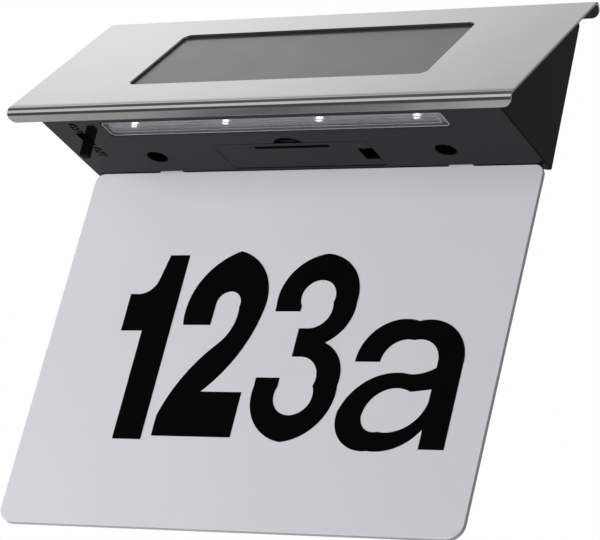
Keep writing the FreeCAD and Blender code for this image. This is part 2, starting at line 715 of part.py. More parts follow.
def number_2():
    """Heavy head, sweep to the lower left, and a deep foot."""
    steps = [
        (31.8, 0), (31.8, 17.4), (15.2, 17.4),
        (26.4, 32.0, 32.4, 51.0),
        (28.6, 65.6, 17.2, 73.4),
        (5.4, 64.4, 0.9, 43.7),
        (12.0, 43.7), (12.2, 51.5),
        (17.2, 57.1, 22.0, 51.0),
        (21.5, 43.4, 17.9, 37.0),
        (6.8, 23.6, 0, 7.8),
        (0, 0),
    ]
    return figure((0, 0), steps)


def number_3():
    """Two bowls, open to the left, that meet at a short arm."""
    steps = [
        (0, 21.0),
        (3.9, 6.6, 15.4, 0),
        (27.7, 6.4, 32.5, 22.0),
        (30.4, 32.6, 23.6, 38.3),
        (30.2, 44.6, 32.3, 54.4),
        (28.0, 67.6, 16.6, 73.4),
        (4.8, 67.0, 0.8, 52.5),
        (0.8, 50.5), (10.8, 50.5), (10.9, 52.5),
        (16.8, 62.9, 23.1, 54.0),
        (21.2, 46.2, 15.5, 43.8),
        (12.0, 43.8), (12.0, 32.8), (15.5, 32.8),
        (21.3, 30.2, 23.0, 21.5),
        (16.3, 10.2, 9.3, 21.0),
        (9.3, 24.5), (0, 24.5),
    ]
    return figure((0, 24.5), steps)


def letter_a():
    """Small letter with a hooked stem and a round bowl, drawn lighter than the numerals."""
    steps = [
        (43.4, 1.0), (43.4, 33.0),
        (38.9, 45.2, 23.4, 49.4),
        (7.6, 46.0, 2.2, 33.6),
        (11.8, 33.6),
        (15.0, 40.2, 23.0, 42.0),
        (31.2, 40.0, 33.8, 33.5),
        (33.8, 31.6),
        (29.8, 29.7, 24.5, 29.0),
        (7.4, 25.4, 0, 14.3),
        (3.9, 3.3, 14.6, 0),
        (26.2, 1.9, 33.8, 8.6),
        (33.8, 1.0),
    ]
    bowl = [
        (26.0, 22.4),
        (12.2, 19.8, 9.6, 14.2),
        (11.4, 8.6, 17.0, 7.2),
        (29.0, 10.4, 33.8, 18.6),
        (33.8, 23.4),
    ]
    return figure((33.8, 1.0), steps).cut(figure((33.8, 23.4), bowl))


# --- Lamp strip ---------------------------------------------------------------------------------

def led_lens():
    """Clear channel: it fills the opening, and its flange lies on the floor's inside."""
    y = -LENS_FROM_WALL
    channel = centred_box(0, y, LENS_LENGTH, LENS_WIDTH, GAP, LENS_HEIGHT, LENS_CORNER)
    flange = centred_box(0, y, LENS_LENGTH + 2 * LENS_FLANGE, LENS_WIDTH + 2 * LENS_FLANGE, WALL,
                         WALL + LENS_FLANGE_THICKNESS)
    hollow = centred_box(0, y, LENS_LENGTH - 2 * LENS_RIM, LENS_WIDTH - 2 * LENS_RIM, GAP + LENS_SKIN,
                         LENS_HEIGHT)
    return joined(channel, flange).cut(hollow)


def led_board():
    y = -LENS_FROM_WALL
    return centred_box(0, y, LENS_LENGTH - 2 * LENS_RIM, LED_BOARD_WIDTH, LENS_HEIGHT,
                       LENS_HEIGHT + BOARD_THICKNESS)


def leds():
    """Flat white packages with a well for the phosphor, soldered to the board's lower face."""
    pieces = []
    for index in range(LED_COUNT):
        x = (index - (LED_COUNT - 1) / 2) * LED_PITCH
        low = LENS_HEIGHT - LED_HEIGHT
        body = centred_box(x, -LENS_FROM_WALL, LED_LENGTH, LED_WIDTH, low, LENS_HEIGHT)
        pieces.append(body.cut(led_well(x, low)))
    return Part.makeCompound(pieces)


def led_well(x, low):
    """Rectangular well that narrows towards its floor."""
    rims = []
    for inset, z in ((LED_WELL_MARGIN, low), (LED_WELL_MARGIN + LED_WELL_TAPER, low + LED_WELL_DEPTH)):
        half_x = LED_LENGTH / 2 - inset
        half_y = LED_WIDTH / 2 - inset
        signs = ((-1, -1), (1, -1), (1, 1), (-1, 1), (-1, -1))
        rims.append(Part.makePolygon([FreeCAD.Vector(x + a * half_x, b * half_y - LENS_FROM_WALL, z)
                                      for a, b in signs]))
    return Part.makeLoft(rims, True, True)


# --- Battery ------------------------------------------------------------------------------------

def battery_lid():
    """Lid with a round rear edge on two hinge pins, a bow latch behind its front edge, a notch."""
    front = -LID_FROM_WALL - LID_WIDTH / 2
    rear = -LID_FROM_WALL + LID_WIDTH / 2
    hinge_y, hinge_z = hinge_place()
    half = LID_LENGTH / 2
    lid = lid_block(0, LID_THICKNESS).cut(box(-half, half, hinge_y, rear, 0, LID_THICKNESS))
    lid = joined(lid, rod(-half, hinge_y, hinge_z, X_AXIS, LID_THICKNESS / 2, LID_LENGTH))
    pin_reach = LID_GAP + HINGE_PIN_LENGTH - GAP
    lid = joined(lid, rod(-half - pin_reach, hinge_y, hinge_z, X_AXIS, HINGE_PIN_RADIUS,
                          LID_LENGTH + 2 * pin_reach))
    tip = box(-LATCH_TIP_WIDTH / 2, LATCH_TIP_WIDTH / 2, front - LATCH_TIP_REACH, front + LATCH_BEAM_WIDTH,
              LATCH_TIP_RECESS, LID_THICKNESS)
    lid = joined(lid, tip)
    slot_y = front + LATCH_BEAM_WIDTH + LATCH_SLOT_WIDTH / 2
    lid = lid.cut(centred_box(0, slot_y, LATCH_LENGTH, LATCH_SLOT_WIDTH, 0, LID_THICKNESS))
    notch_y = front + LID_NOTCH_FROM_FRONT
    notch = box(half - LID_NOTCH_LENGTH, half, notch_y, notch_y + LID_NOTCH_WIDTH, 0, LID_THICKNESS)
    return lid.cut(notch)


def battery_cell():
    """Round cell with its cap towards the right."""
    y = -LID_FROM_WALL
    can = rod(-CELL_LENGTH / 2, y, BATTERY_HEIGHT, X_AXIS, CELL_RADIUS, CELL_LENGTH)
    rims = [edge for edge in can.Edges if len(edge.Vertexes) == 1]
    can = can.makeChamfer(CELL_RIM, rims)
    cap = rod(0, y, BATTERY_HEIGHT, X_AXIS, CELL_CAP_RADIUS, CELL_LENGTH / 2 + CELL_CAP_HEIGHT)
    return joined(can, cap)


def contact_plate(x, side):
    """Flat strip against an end of the bay."""
    middle = x - side * CONTACT_SHEET / 2
    low = BATTERY_HEIGHT - CONTACT_HEIGHT / 2
    return centred_box(middle, -LID_FROM_WALL, CONTACT_SHEET, CONTACT_WIDTH, low, low + CONTACT_HEIGHT)


def battery_contact_plus():
    """Flat contact with a raised pad that meets the cell's cap."""
    end = BAY_LENGTH / 2
    cap = CELL_LENGTH / 2 + CELL_CAP_HEIGHT
    half = CONTACT_PAD / 2
    pad = centred_box((cap + end) / 2, -LID_FROM_WALL, end - cap, CONTACT_PAD,
                      BATTERY_HEIGHT - half, BATTERY_HEIGHT + half)
    return joined(contact_plate(end, 1), pad)


def battery_contact_minus():
    """Sprung contact: a bowed strip that presses on the cell, in front of a flat one."""
    root = -BAY_LENGTH / 2 + CONTACT_SHEET
    crest = -CELL_LENGTH / 2
    half = (CONTACT_HEIGHT - CONTACT_SHEET) / 2
    thick = 2 * CONTACT_SHEET
    steps = [
        (crest, 0, root, -half),
        (root, thick - half),
        (crest - CONTACT_SHEET, 0, root, half - thick),
        (root, half),
    ]
    front = -LID_FROM_WALL - CONTACT_WIDTH / 2
    face = outline((root, half), steps, lambda x, z: FreeCAD.Vector(x, front, BATTERY_HEIGHT + z))
    bow = face.extrude(FreeCAD.Vector(0, CONTACT_WIDTH, 0))
    return joined(contact_plate(-BAY_LENGTH / 2, -1), bow)


# --- Switch and control board -------------------------------------------------------------------

def switch_frame():
    """Tin can over the switch, open on top, with a slot for the knob's stem."""
    y = -SWITCH_FROM_WALL
    can = centred_box(SWITCH_X, y, SWITCH_WIDTH, SWITCH_LENGTH, WALL, SWITCH_TOP - BOARD_THICKNESS)
    inside = centred_box(SWITCH_X, y, SWITCH_WIDTH - 2 * SWITCH_TIN, SWITCH_LENGTH - 2 * SWITCH_TIN,
                         WALL + SWITCH_TIN, SWITCH_TOP)
    slot = centred_box(SWITCH_X, y, SWITCH_SLOT_WIDTH, SWITCH_SLOT_LENGTH, WALL, WALL + SWITCH_TIN)
    return can.cut(inside).cut(slot)


def switch_base():
    """Terminal base that closes the can, with three pins through the control board."""
    y = -SWITCH_FROM_WALL
    low = WALL + SWITCH_TIN + KNOB_SHOE_HEIGHT + 3 * KNOB_CLEARANCE
    shrink = 2 * (SWITCH_TIN + KNOB_CLEARANCE)
    base = centred_box(SWITCH_X, y, SWITCH_WIDTH - shrink, SWITCH_LENGTH - shrink, low, SWITCH_TOP)
    for step in (-1, 0, 1):
        pin = centred_box(SWITCH_X, y + step * PIN_PITCH, PIN_WIDTH, PIN_WIDTH, low,
                          SWITCH_TOP + PIN_LENGTH)
        base = joined(base, pin)
    return base


def switch_knob():
    """Ribbed finger piece below the housing, and its shoe inside the can, at the rear stop."""
    y = -SWITCH_FROM_WALL + KNOB_TRAVEL / 2
    shoe_low = WALL + SWITCH_TIN + KNOB_CLEARANCE
    stem = centred_box(SWITCH_X, y, KNOB_WIDTH, KNOB_LENGTH, -KNOB_HANG, shoe_low + KNOB_SHOE_HEIGHT / 2)
    tip = [edge for edge in stem.Edges if near(edge.CenterOfMass.z, -KNOB_HANG)]
    stem = stem.makeFillet(KNOB_TIP_RADIUS, tip)
    shoe_width = SWITCH_WIDTH - 2 * (SWITCH_TIN + 2 * KNOB_CLEARANCE)
    shoe = centred_box(SWITCH_X, y, shoe_width, KNOB_LENGTH + 2 * KNOB_SHOE_REACH, shoe_low,
                       shoe_low + KNOB_SHOE_HEIGHT)
    knob = joined(stem, shoe)
    spacing = KNOB_WIDTH / KNOB_RIB_COUNT
    for index in range(KNOB_RIB_COUNT - 1):
        x = SWITCH_X + (index - (KNOB_RIB_COUNT - 2) / 2) * spacing
        for side in (-1, 1):
            groove = centred_box(x, y + side * KNOB_LENGTH / 2, KNOB_RIB, KNOB_RIB,
                                 KNOB_RIB_MARGIN - KNOB_HANG, -KNOB_RIB_MARGIN)
            knob = knob.cut(groove)
    return knob


def control_board():
    """Circuit board on the switch's back, with holes for its pins and the two screws."""
    y = -CONTROL_FROM_WALL
    board = centred_box(CONTROL_X, y, CONTROL_WIDTH, CONTROL_LENGTH, SWITCH_TOP, BOARD_TOP)
    for px, py in post_places():
        board = board.cut(rod(px, py, SWITCH_TOP, Z_AXIS, BOARD_SCREW_RADIUS + GAP / 2, BOARD_THICKNESS))
    for step in (-1, 0, 1):
        hole = centred_box(SWITCH_X, -SWITCH_FROM_WALL + step * PIN_PITCH, PIN_WIDTH + GAP, PIN_WIDTH + GAP,
                           SWITCH_TOP, BOARD_TOP)
        board = board.cut(hole)
    return board


def board_screws():
    """Two pan-head screws that hold the control board on its posts."""
    screws = []
    for x, y in post_places():
        head = rod(x, y, BOARD_TOP, Z_AXIS, 2 * BOARD_SCREW_RADIUS, BOARD_SCREW_HEAD)
        shank = rod(x, y, BOARD_TOP - BOARD_SCREW_LENGTH, Z_AXIS, BOARD_SCREW_RADIUS, BOARD_SCREW_LENGTH)
        screws.append(joined(head, shank))
    return Part.makeCompound(screws)


def controller_chip():
    """Charging chip that stands on the board on its legs."""
    x = CONTROL_X + CHIP_PLACE[0]
    y = -CONTROL_FROM_WALL + CHIP_PLACE[1]
    low = BOARD_TOP + CHIP_LEG_LENGTH
    body = centred_box(x, y, CHIP_LENGTH, CHIP_THICKNESS, low, low + CHIP_HEIGHT)
    for index in range(CHIP_LEGS):
        leg_x = x + (index - (CHIP_LEGS - 1) / 2) * CHIP_LEG_PITCH
        leg = centred_box(leg_x, y, CHIP_LEG_WIDTH, CHIP_LEG_WIDTH, BOARD_TOP, low)
        body = joined(body, leg)
    return body


def inductor():
    """Round coil that lies on the board."""
    x = CONTROL_X + INDUCTOR_PLACE[0] - INDUCTOR_LENGTH / 2
    y = -CONTROL_FROM_WALL + INDUCTOR_PLACE[1]
    return rod(x, y, BOARD_TOP + INDUCTOR_RADIUS, X_AXIS, INDUCTOR_RADIUS, INDUCTOR_LENGTH)


# --- Screws -------------------------------------------------------------------------------------

def housing_screw(x):
    """Pan-head screw at the bottom of its well, driven into the tray's boss."""
    y = -HOUSING_SCREW_FROM_WALL
    low = SCREW_WELL_DEPTH - SCREW_HEAD_HEIGHT
    head = rod(x, y, low, Z_AXIS, SCREW_HEAD_RADIUS, SCREW_HEAD_HEIGHT)
    screw = joined(head, rod(x, y, SCREW_WELL_DEPTH, Z_AXIS, SCREW_SHANK_RADIUS, HOUSING_SCREW_LENGTH))
    for long, wide in ((CROSS_LENGTH, CROSS_WIDTH), (CROSS_WIDTH, CROSS_LENGTH)):
        screw = screw.cut(centred_box(x, y, long, wide, low, low + CROSS_DEPTH))
    return screw


def rear_screws():
    """Four countersunk screws in the rear plate."""
    screws = []
    for side in (-1, 1):
        for height in REAR_SCREW_HEIGHTS:
            x = side * REAR_SCREW_X
            place = FreeCAD.Vector(x, 0, height)
            head = Part.makeCone(SCREW_HEAD_RADIUS, SCREW_SHANK_RADIUS, REAR_PLATE_THICKNESS,
                                 place, -Y_AXIS)
            shank = rod(x, 0, height, -Y_AXIS, SCREW_SHANK_RADIUS, REAR_SCREW_LENGTH)
            screw = joined(head, shank)
            for long, tall in ((CROSS_LENGTH, CROSS_WIDTH), (CROSS_WIDTH, CROSS_LENGTH)):
                recess = box(x - long / 2, x + long / 2, -CROSS_DEPTH, 0,
                             height - tall / 2, height + tall / 2)
                screw = screw.cut(recess)
            screws.append(screw)
    return Part.makeCompound(screws)


# --- Leads --------------------------------------------------------------------------------------

def lead_section(centre, direction, turn_axis):
    """Rectangle square to the lead's direction, wide along the axis that it first turns about."""
    wide = turn_axis * (LEAD_WIDTH / 2)
    thick = direction.cross(turn_axis) * (LEAD_THICKNESS / 2)
    corners = [centre - wide - thick, centre + wide - thick, centre + wide + thick, centre - wide + thick]
    return Part.makePolygon(corners + corners[:1])


def lead(name, points):
    """Flat lead along straight runs, with the largest tangent arc that the runs allow at each turn."""
    places = [FreeCAD.Vector(*point) for point in points]
    edges = []
    radii = []
    here = places[0]
    for before, corner, after in zip(places, places[1:], places[2:]):
        into = (corner - before).normalize()
        away = (after - corner).normalize()
        half_turn = into.getAngle(away) / 2
        setback = LEAD_BEND_SHARE * min(before.distanceToPoint(corner), corner.distanceToPoint(after))
        radius = setback / math.tan(half_turn)
        start = corner - into * setback
        finish = corner + away * setback
        inward = (away - into).normalize()
        middle = corner + inward * (radius / math.cos(half_turn) - radius)
        edges.append(Part.LineSegment(here, start).toShape())
        edges.append(Part.Arc(start, middle, finish).toShape())
        radii.append(round(radius, 1))
        here = finish
    edges.append(Part.LineSegment(here, places[-1]).toShape())
    route = Part.Wire(edges)
    first = (places[1] - places[0]).normalize()
    turn_axis = first.cross(places[2] - places[1]).normalize()
    body = route.makePipeShell([lead_section(places[0], first, turn_axis)], True, False, 2)
    fill = body.Volume / (route.Length * LEAD_WIDTH * LEAD_THICKNESS)
    print(name, "length", round(route.Length, 1), "bend radii", radii, "volume share", round(fill, 3))
    return body


def solar_leads():
    """From the cell's back, square through the tray's hole, to the rear left of the control board."""
    y, z = slope_point(WINDOW_MIDDLE, CELL_BOTTOM)
    out_y, out_z = slope_point(WINDOW_MIDDLE, CELL_BOTTOM + LEAD_RISE)
    end_x = CONTROL_X - SOLDER_LEFT
    end_y = -CONTROL_FROM_WALL + SOLAR_SOLDER
    middle_x = (SOLAR_LEAD_X + end_x) / 2
    return lead("solar_leads", [
        (SOLAR_LEAD_X, y, z),
        (SOLAR_LEAD_X, out_y, out_z),
        (middle_x, end_y, (out_z + BOARD_TOP + LEAD_RISE) / 2),
        (end_x, end_y, BOARD_TOP + LEAD_RISE),
        (end_x, end_y, BOARD_TOP),
    ])


def led_leads():
    """From the diode board's left end, up and over to the front right of the control board."""
    x = -LENS_LENGTH / 2 + LED_SOLDER
    y = -LENS_FROM_WALL
    end_x = CONTROL_X + SOLDER_RIGHT
    end_y = -CONTROL_FROM_WALL - CONTROL_LENGTH / 2 + SOLDER_RIM
    low = LENS_HEIGHT + BOARD_THICKNESS
    return lead("led_leads", [
        (x, y, low),
        (x, y, low + LED_LEAD_RISE),
        (end_x, end_y, BOARD_TOP + LED_LEAD_RISE),
        (end_x, end_y, BOARD_TOP),
    ])


def battery_leads():
    """From the bay's roof, where the contacts' tags come out, to the front left of the control board."""
    top = BAY_TOP + BAY_WALL
    x = -BAY_LENGTH / 2 + SOLDER_RIM
    y = -LID_FROM_WALL - SOLDER_RIM
    end_x = CONTROL_X - SOLDER_LEFT
    end_y = -CONTROL_FROM_WALL - CONTROL_LENGTH / 2 + SOLDER_RIM
    return lead("battery_leads", [
        (x, y, top),
        (x, y, top + LEAD_RISE),
        (x - LEAD_DETOUR, (y + end_y) / 2, top + LEAD_RISE / 2),
        (end_x, end_y, BOARD_TOP + LEAD_RISE),
        (end_x, end_y, BOARD_TOP),
    ])


PIECES = {
    "roof_cover": roof_cover,
    "roof_tapes": roof_tapes,
    "solar_cell": solar_cell,
    "cell_pad": cell_pad,
    "top_tray": top_tray,
    "housing_shell": housing_shell,
    "rear_plate": rear_plate,
    "number_panel": number_panel,
    "number_1": lambda: film(number_1(), NUMBER_1_PLACE),
    "number_2": lambda: film(number_2(), NUMBER_2_PLACE),
    "number_3": lambda: film(number_3(), NUMBER_3_PLACE),
    "letter_a": lambda: film(letter_a(), LETTER_A_PLACE),
    "led_lens": led_lens,
    "led_board": led_board,
    "leds": leds,
    "battery_lid": battery_lid,
    "battery_cell": battery_cell,
    "battery_contact_plus": battery_contact_plus,
    "battery_contact_minus": battery_contact_minus,
    "switch_frame": switch_frame,
    "switch_base": switch_base,
    "switch_knob": switch_knob,
    "control_board": control_board,
    "board_screws": board_screws,
    "controller_chip": controller_chip,
    "inductor": inductor,
    "housing_screws": lambda: pair(housing_screw, HOUSING_SCREW_X),
    "rear_screws": rear_screws,
    "solar_leads": solar_leads,
    "led_leads": led_leads,
    "battery_leads": battery_leads,
}

os.makedirs("parts", exist_ok=True)
for piece_name, make in PIECES.items():
    save(piece_name, make())
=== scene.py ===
# %% [markdown]
# # A solar house number sign
# The sign is a folded steel roof, a black lamp housing below it and a white panel that hangs from the
# housing. All of its pieces come from the engineering model with their real sizes. This lesson gives
# them their finishes, adds the raised words and the small details that only the eye needs, and sets up
# the light and the camera. Lengths are metres: X runs to the right, Y into the wall and Z up.

# %% Load the sign
import bpy
import json
import math
from mathutils import Matrix, Quaternion, Vector


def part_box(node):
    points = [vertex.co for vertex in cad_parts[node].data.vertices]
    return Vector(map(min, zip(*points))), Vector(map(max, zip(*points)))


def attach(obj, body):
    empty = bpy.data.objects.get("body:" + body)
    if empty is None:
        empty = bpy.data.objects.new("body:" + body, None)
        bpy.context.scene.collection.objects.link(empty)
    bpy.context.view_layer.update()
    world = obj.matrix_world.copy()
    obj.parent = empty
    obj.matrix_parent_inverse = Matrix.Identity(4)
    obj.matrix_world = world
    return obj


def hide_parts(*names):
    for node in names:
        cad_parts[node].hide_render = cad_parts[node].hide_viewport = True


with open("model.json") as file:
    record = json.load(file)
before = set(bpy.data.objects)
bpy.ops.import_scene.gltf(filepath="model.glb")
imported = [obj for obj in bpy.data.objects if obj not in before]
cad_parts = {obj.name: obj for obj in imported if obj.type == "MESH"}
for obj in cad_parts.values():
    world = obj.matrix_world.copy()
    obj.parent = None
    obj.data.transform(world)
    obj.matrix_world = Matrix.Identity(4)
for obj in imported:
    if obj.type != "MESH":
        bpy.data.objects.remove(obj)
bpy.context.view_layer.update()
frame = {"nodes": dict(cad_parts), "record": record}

MM = 0.001

# %% [markdown]
# ## The viewpoint
# The camera stands to the right of the sign and well below it, has a long lens and is tipped a little.
# A camera is easiest to describe by where it stands, the point it looks at and its roll. The quaternion
# below turns the camera's -Z axis towards the target, and the roll turns it about that axis afterwards.

# %% Camera
CAMERA_PLACE = Vector((0.54331, -0.89046, -0.50201))
CAMERA_TARGET = Vector((0.01182, -0.01733, -0.08223))
CAMERA_ROLL = math.radians(12.74)
LENS_MM = 190.56
NEAR_CLIP = 50 * MM


def aimed(place, target, roll=0.0):
    """Matrix of a camera or lamp that stands at place and looks at target."""
    turn = (target - place).to_track_quat("-Z", "Y") @ Quaternion((0, 0, 1), roll)
    return Matrix.Translation(place) @ turn.to_matrix().to_4x4()


camera_data = bpy.data.cameras.new("camera")
camera_data.lens = LENS_MM
camera_data.clip_start = NEAR_CLIP
camera = bpy.data.objects.new("camera", camera_data)
camera.matrix_world = aimed(CAMERA_PLACE, CAMERA_TARGET, CAMERA_ROLL)
bpy.context.scene.collection.objects.link(camera)
bpy.context.scene.camera = camera
print("camera distance", round((CAMERA_PLACE - CAMERA_TARGET).length, 3))

# %% [markdown]
# ## Shader sums as plain Python
# A finish is a small calculation: noise times a strength, plus a base value. In the node editor each sum
# is a Math node with two wires. Here one class wraps a socket, so that `0.3 + 0.1 * noise` adds those
# nodes by itself. Every other node comes from its `node` method.

# %% Sockets that take sums
class Wire:
    """An output socket. Sums on it add Math nodes, and node() adds a node of any other type."""

    def __init__(self, tree, socket=None):
        self.tree = tree
        self.socket = socket

    def node(self, kind, settings=None, inputs=None, output=0):
        """Add a node: settings first, then values or wires for its inputs, by name or number."""
        made = self.tree.nodes.new(kind)
        for name, value in (settings or {}).items():
            setattr(made, name, value)
        for name, value in (inputs or {}).items():
            if isinstance(value, Wire):
                self.tree.links.new(value.socket, made.inputs[name])
            else:
                made.inputs[name].default_value = value
        return Wire(self.tree, made.outputs[output] if len(made.outputs) else None)

    def math(self, operation, *values):
        return self.node("ShaderNodeMath", {"operation": operation}, dict(enumerate(values)))

    def __add__(self, other):
        return self.math("ADD", self, other)

    def __radd__(self, other):
        return self.math("ADD", other, self)

    def __sub__(self, other):
        return self.math("SUBTRACT", self, other)

    def __rsub__(self, other):
        return self.math("SUBTRACT", other, self)

    def __mul__(self, other):
        return self.math("MULTIPLY", self, other)

    def __rmul__(self, other):
        return self.math("MULTIPLY", other, self)

    def between(self, low, high):
        """0 below low, 1 above high, and a smooth step from one to the other."""
        settings = {"interpolation_type": "SMOOTHSTEP"}
        return self.node("ShaderNodeMapRange", settings, {0: self, 1: low, 2: high})

    def mix(self, first, second):
        """Colour from first to second, by this wire's value."""
        return self.node("ShaderNodeMix", {"data_type": "RGBA"}, {0: self, 6: first, 7: second}, 2)


def grey(value):
    return (value, value, value, 1.0)


# %% [markdown]
# ## Patterns to build finishes from
# All patterns read Object coordinates. The pieces sit at the origin, so these are the sign's own
# metres, and a pattern's size is given in millimetres of the real thing. Stretching the coordinates
# turns round noise into brush marks.

# %% Pattern helpers
def place_on(pen, scale=(1, 1, 1), turn=(0, 0, 0)):
    """Object coordinates, turned and stretched."""
    here = pen.node("ShaderNodeTexCoord", output="Object")
    moves = {"Vector": here, "Rotation": turn, "Scale": scale}
    return pen.node("ShaderNodeMapping", {"vector_type": "POINT"}, moves)


def noise(pen, size, detail=3.0, stretch=(1, 1, 1), turn=(0, 0, 0)):
    """Noise from 0 to 1 whose blobs are about this size in metres."""
    scale = tuple(one / size for one in stretch)
    inputs = {"Vector": place_on(pen, scale, turn), "Scale": 1.0, "Detail": detail}
    return pen.node("ShaderNodeTexNoise", None, inputs)


def specks(pen, size, amount):
    """1 on scattered round dots of dust, 0 elsewhere."""
    inputs = {"Vector": place_on(pen), "Scale": 1 / size, "Randomness": 1.0}
    distance = pen.node("ShaderNodeTexVoronoi", None, inputs)
    return 1.0 - distance.between(amount / 2, amount)


def axis(pen, letter):
    """One Object coordinate as a number, in metres."""
    here = pen.node("ShaderNodeTexCoord", output="Object")
    return pen.node("ShaderNodeSeparateXYZ", None, {"Vector": here}, letter)


# %% [markdown]
# ## From patterns to a material
# The Principled shader covers every finish here. What changes over the surface goes to colour,
# roughness, coat weight, alpha or normal. What is the same all over, such as the refractive index of a
# plastic, is written on the shader's own socket. Each finish is one function, and `make` keeps its
# material under the function's name.

# %% Material maker
materials = {}


def finish(build):
    """A material whose nodes are laid by build(pen), which returns what the shader needs."""
    material = bpy.data.materials.new(build.__name__)
    material.use_nodes = True
    tree = material.node_tree
    tree.nodes.clear()
    pen = Wire(tree)
    inputs = build(pen)
    height = inputs.pop("height", None)
    if height is not None:
        wire, depth = height
        inputs["Normal"] = pen.node("ShaderNodeBump", None, {"Height": wire, "Distance": depth})
    shader = pen.node("ShaderNodeBsdfPrincipled", None, inputs)
    pen.node("ShaderNodeOutputMaterial", None, {"Surface": shader})
    return material


def make(*builds):
    """Make a material of each of these finishes."""
    for build in builds:
        materials[build.__name__] = finish(build)
        print(build.__name__, "has", len(materials[build.__name__].node_tree.nodes), "shader nodes")


# %% [markdown]
# ## Where the steel is almost flat
# A folding press crowns a sheet a little and starts to roll it a few millimetres before the fold. Both
# are far too shallow to model, but a mirror shows them. They are written as a height in the finish: two
# curves over the distance up the slope, measured from the foot of the flat plate, which the roof's own
# corners give.

# %% Crown and roll of the roof plate
ROOF_PITCH = math.radians(51.7)
CROWN_TILT = math.radians(2.5)
CROWN_REACH = 60 * MM
ROLL_TILT = math.radians(9.0)
ROLL_REACH = 3.0 * MM
ON_THE_FACE = 0.01 * MM
UP_SLOPE = Vector((0, math.cos(ROOF_PITCH), math.sin(ROOF_PITCH)))
OUT_OF_PLATE = Vector((0, -math.sin(ROOF_PITCH), math.cos(ROOF_PITCH)))
roof_points = [corner.co for corner in frame["nodes"]["roof_cover"].data.vertices]
plate_face = max(OUT_OF_PLATE.dot(point) for point in roof_points)
PLATE_FOOT = min(UP_SLOPE.dot(point) for point in roof_points
                 if OUT_OF_PLATE.dot(point) > plate_face - ON_THE_FACE)
print("the flat plate starts", round(PLATE_FOOT / MM, 1), "mm up the slope")


def up_slope(pen):
    """Distance up the roof's slope, in metres, from the line through the origin."""
    return axis(pen, "Y") * UP_SLOPE.y + axis(pen, "Z") * UP_SLOPE.z


def plate_roll(pen):
    """Height of the plate, in metres: its crown, and its roll towards the fold."""
    climb = pen.math("MAXIMUM", up_slope(pen) - PLATE_FOOT, 0.0)
    crown = (climb - climb * climb * (0.5 / CROWN_REACH)) * CROWN_TILT
    left_over = pen.math("MAXIMUM", 1.0 - climb * (1 / ROLL_REACH), 0.0)
    roll = left_over * left_over * left_over * (ROLL_TILT * ROLL_REACH / 3)
    return crown - roll


# %% [markdown]
# ## Brushed steel
# The roof is stainless sheet, brushed along its length before it was folded. Brushing leaves scratches
# that are long in X and a few tenths of a millimetre wide, so their noise is stretched about 80 times.
# They blur reflections across the grain. Faint cloudy patches are where the brush pressed harder, and
# slow waves in the sheet bend the reflections a little.

# %% Steel finish
GRAIN_PITCH = 0.35 * MM
GRAIN_STRETCH = 0.012
CLOUD_SIZE = 28 * MM
WAVE_SIZE = 26 * MM
WAVE_HEIGHT = 0.10 * MM
GRAIN_SHARE = 0.04
FINE_SHARE = 0.02


def stainless(pen):
    grain = noise(pen, GRAIN_PITCH, 4.0, (GRAIN_STRETCH, 1, 1))
    fine = noise(pen, GRAIN_PITCH / 3, 2.0, (GRAIN_STRETCH, 1, 1))
    clouds = noise(pen, CLOUD_SIZE, 3.0)
    sheet_waves = noise(pen, WAVE_SIZE, 1.0)
    relief = (GRAIN_SHARE * grain + FINE_SHARE * fine + sheet_waves) * WAVE_HEIGHT
    shade = 0.30 + 0.5 * grain + 0.2 * clouds
    return {
        "Base Color": shade.mix((0.58, 0.577, 0.573, 1), (0.70, 0.697, 0.692, 1)),
        "Metallic": 1.0,
        "Roughness": 0.07 + 0.08 * grain + 0.04 * clouds,
        "height": (relief + plate_roll(pen), 1.0),
    }


make(stainless)

# %% [markdown]
# ## Solar cell
# Under the window lies a grey thin-film cell. Hair lines run along its length, where a laser has cut it
# into strips, and finer ones cross them. Two sine waves draw them, one up the slope and one along X, of
# which only the crests show. The clear resin over the cell is a coat.

# %% Solar cell finish
CELL_LINE_PITCH = 0.9 * MM
CELL_FINGER_PITCH = 0.6 * MM
LINE_CREST = 0.80
FINGER_CREST = 0.85
HAIR_GREY = 0.27


def crests(pen, distance, pitch, threshold):
    """Thin lines this far apart: the crests of a sine wave over a distance."""
    wave = pen.math("SINE", distance * (2 * math.pi / pitch))
    return wave.between(threshold, 1.0)


def solar_cell(pen):
    line = crests(pen, up_slope(pen), CELL_LINE_PITCH, LINE_CREST)
    finger = crests(pen, axis(pen, "X"), CELL_FINGER_PITCH, FINGER_CREST)
    clouds = noise(pen, 20 * MM, 4.0)
    base = clouds.mix((0.058, 0.058, 0.062, 1), (0.085, 0.085, 0.09, 1))
    return {
        "Base Color": (0.35 * line + 0.25 * finger).mix(base, grey(HAIR_GREY)),
        "Metallic": 0.35,
        "Roughness": 0.30 + 0.1 * clouds,
        "Coat Weight": 0.75 - 0.2 * clouds,
        "Coat Roughness": 0.10,
        "height": (noise(pen, 1.5 * MM, 2.0), 0.004 * MM),
    }


make(solar_cell)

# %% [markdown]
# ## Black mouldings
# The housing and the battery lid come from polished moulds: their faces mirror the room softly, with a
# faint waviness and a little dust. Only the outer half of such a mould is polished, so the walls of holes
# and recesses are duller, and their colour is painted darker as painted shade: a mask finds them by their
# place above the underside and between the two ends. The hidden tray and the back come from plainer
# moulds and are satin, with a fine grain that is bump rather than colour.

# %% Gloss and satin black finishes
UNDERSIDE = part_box("housing_shell")[0][2]
WALL_THICKNESS = 1.5 * MM
END_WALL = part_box("housing_shell")[1][0] - WALL_THICKNESS
END_FADE = 0.5 * MM
RECESS_STARTS = 0.10 * MM
RECESS_FULL = 0.25 * MM


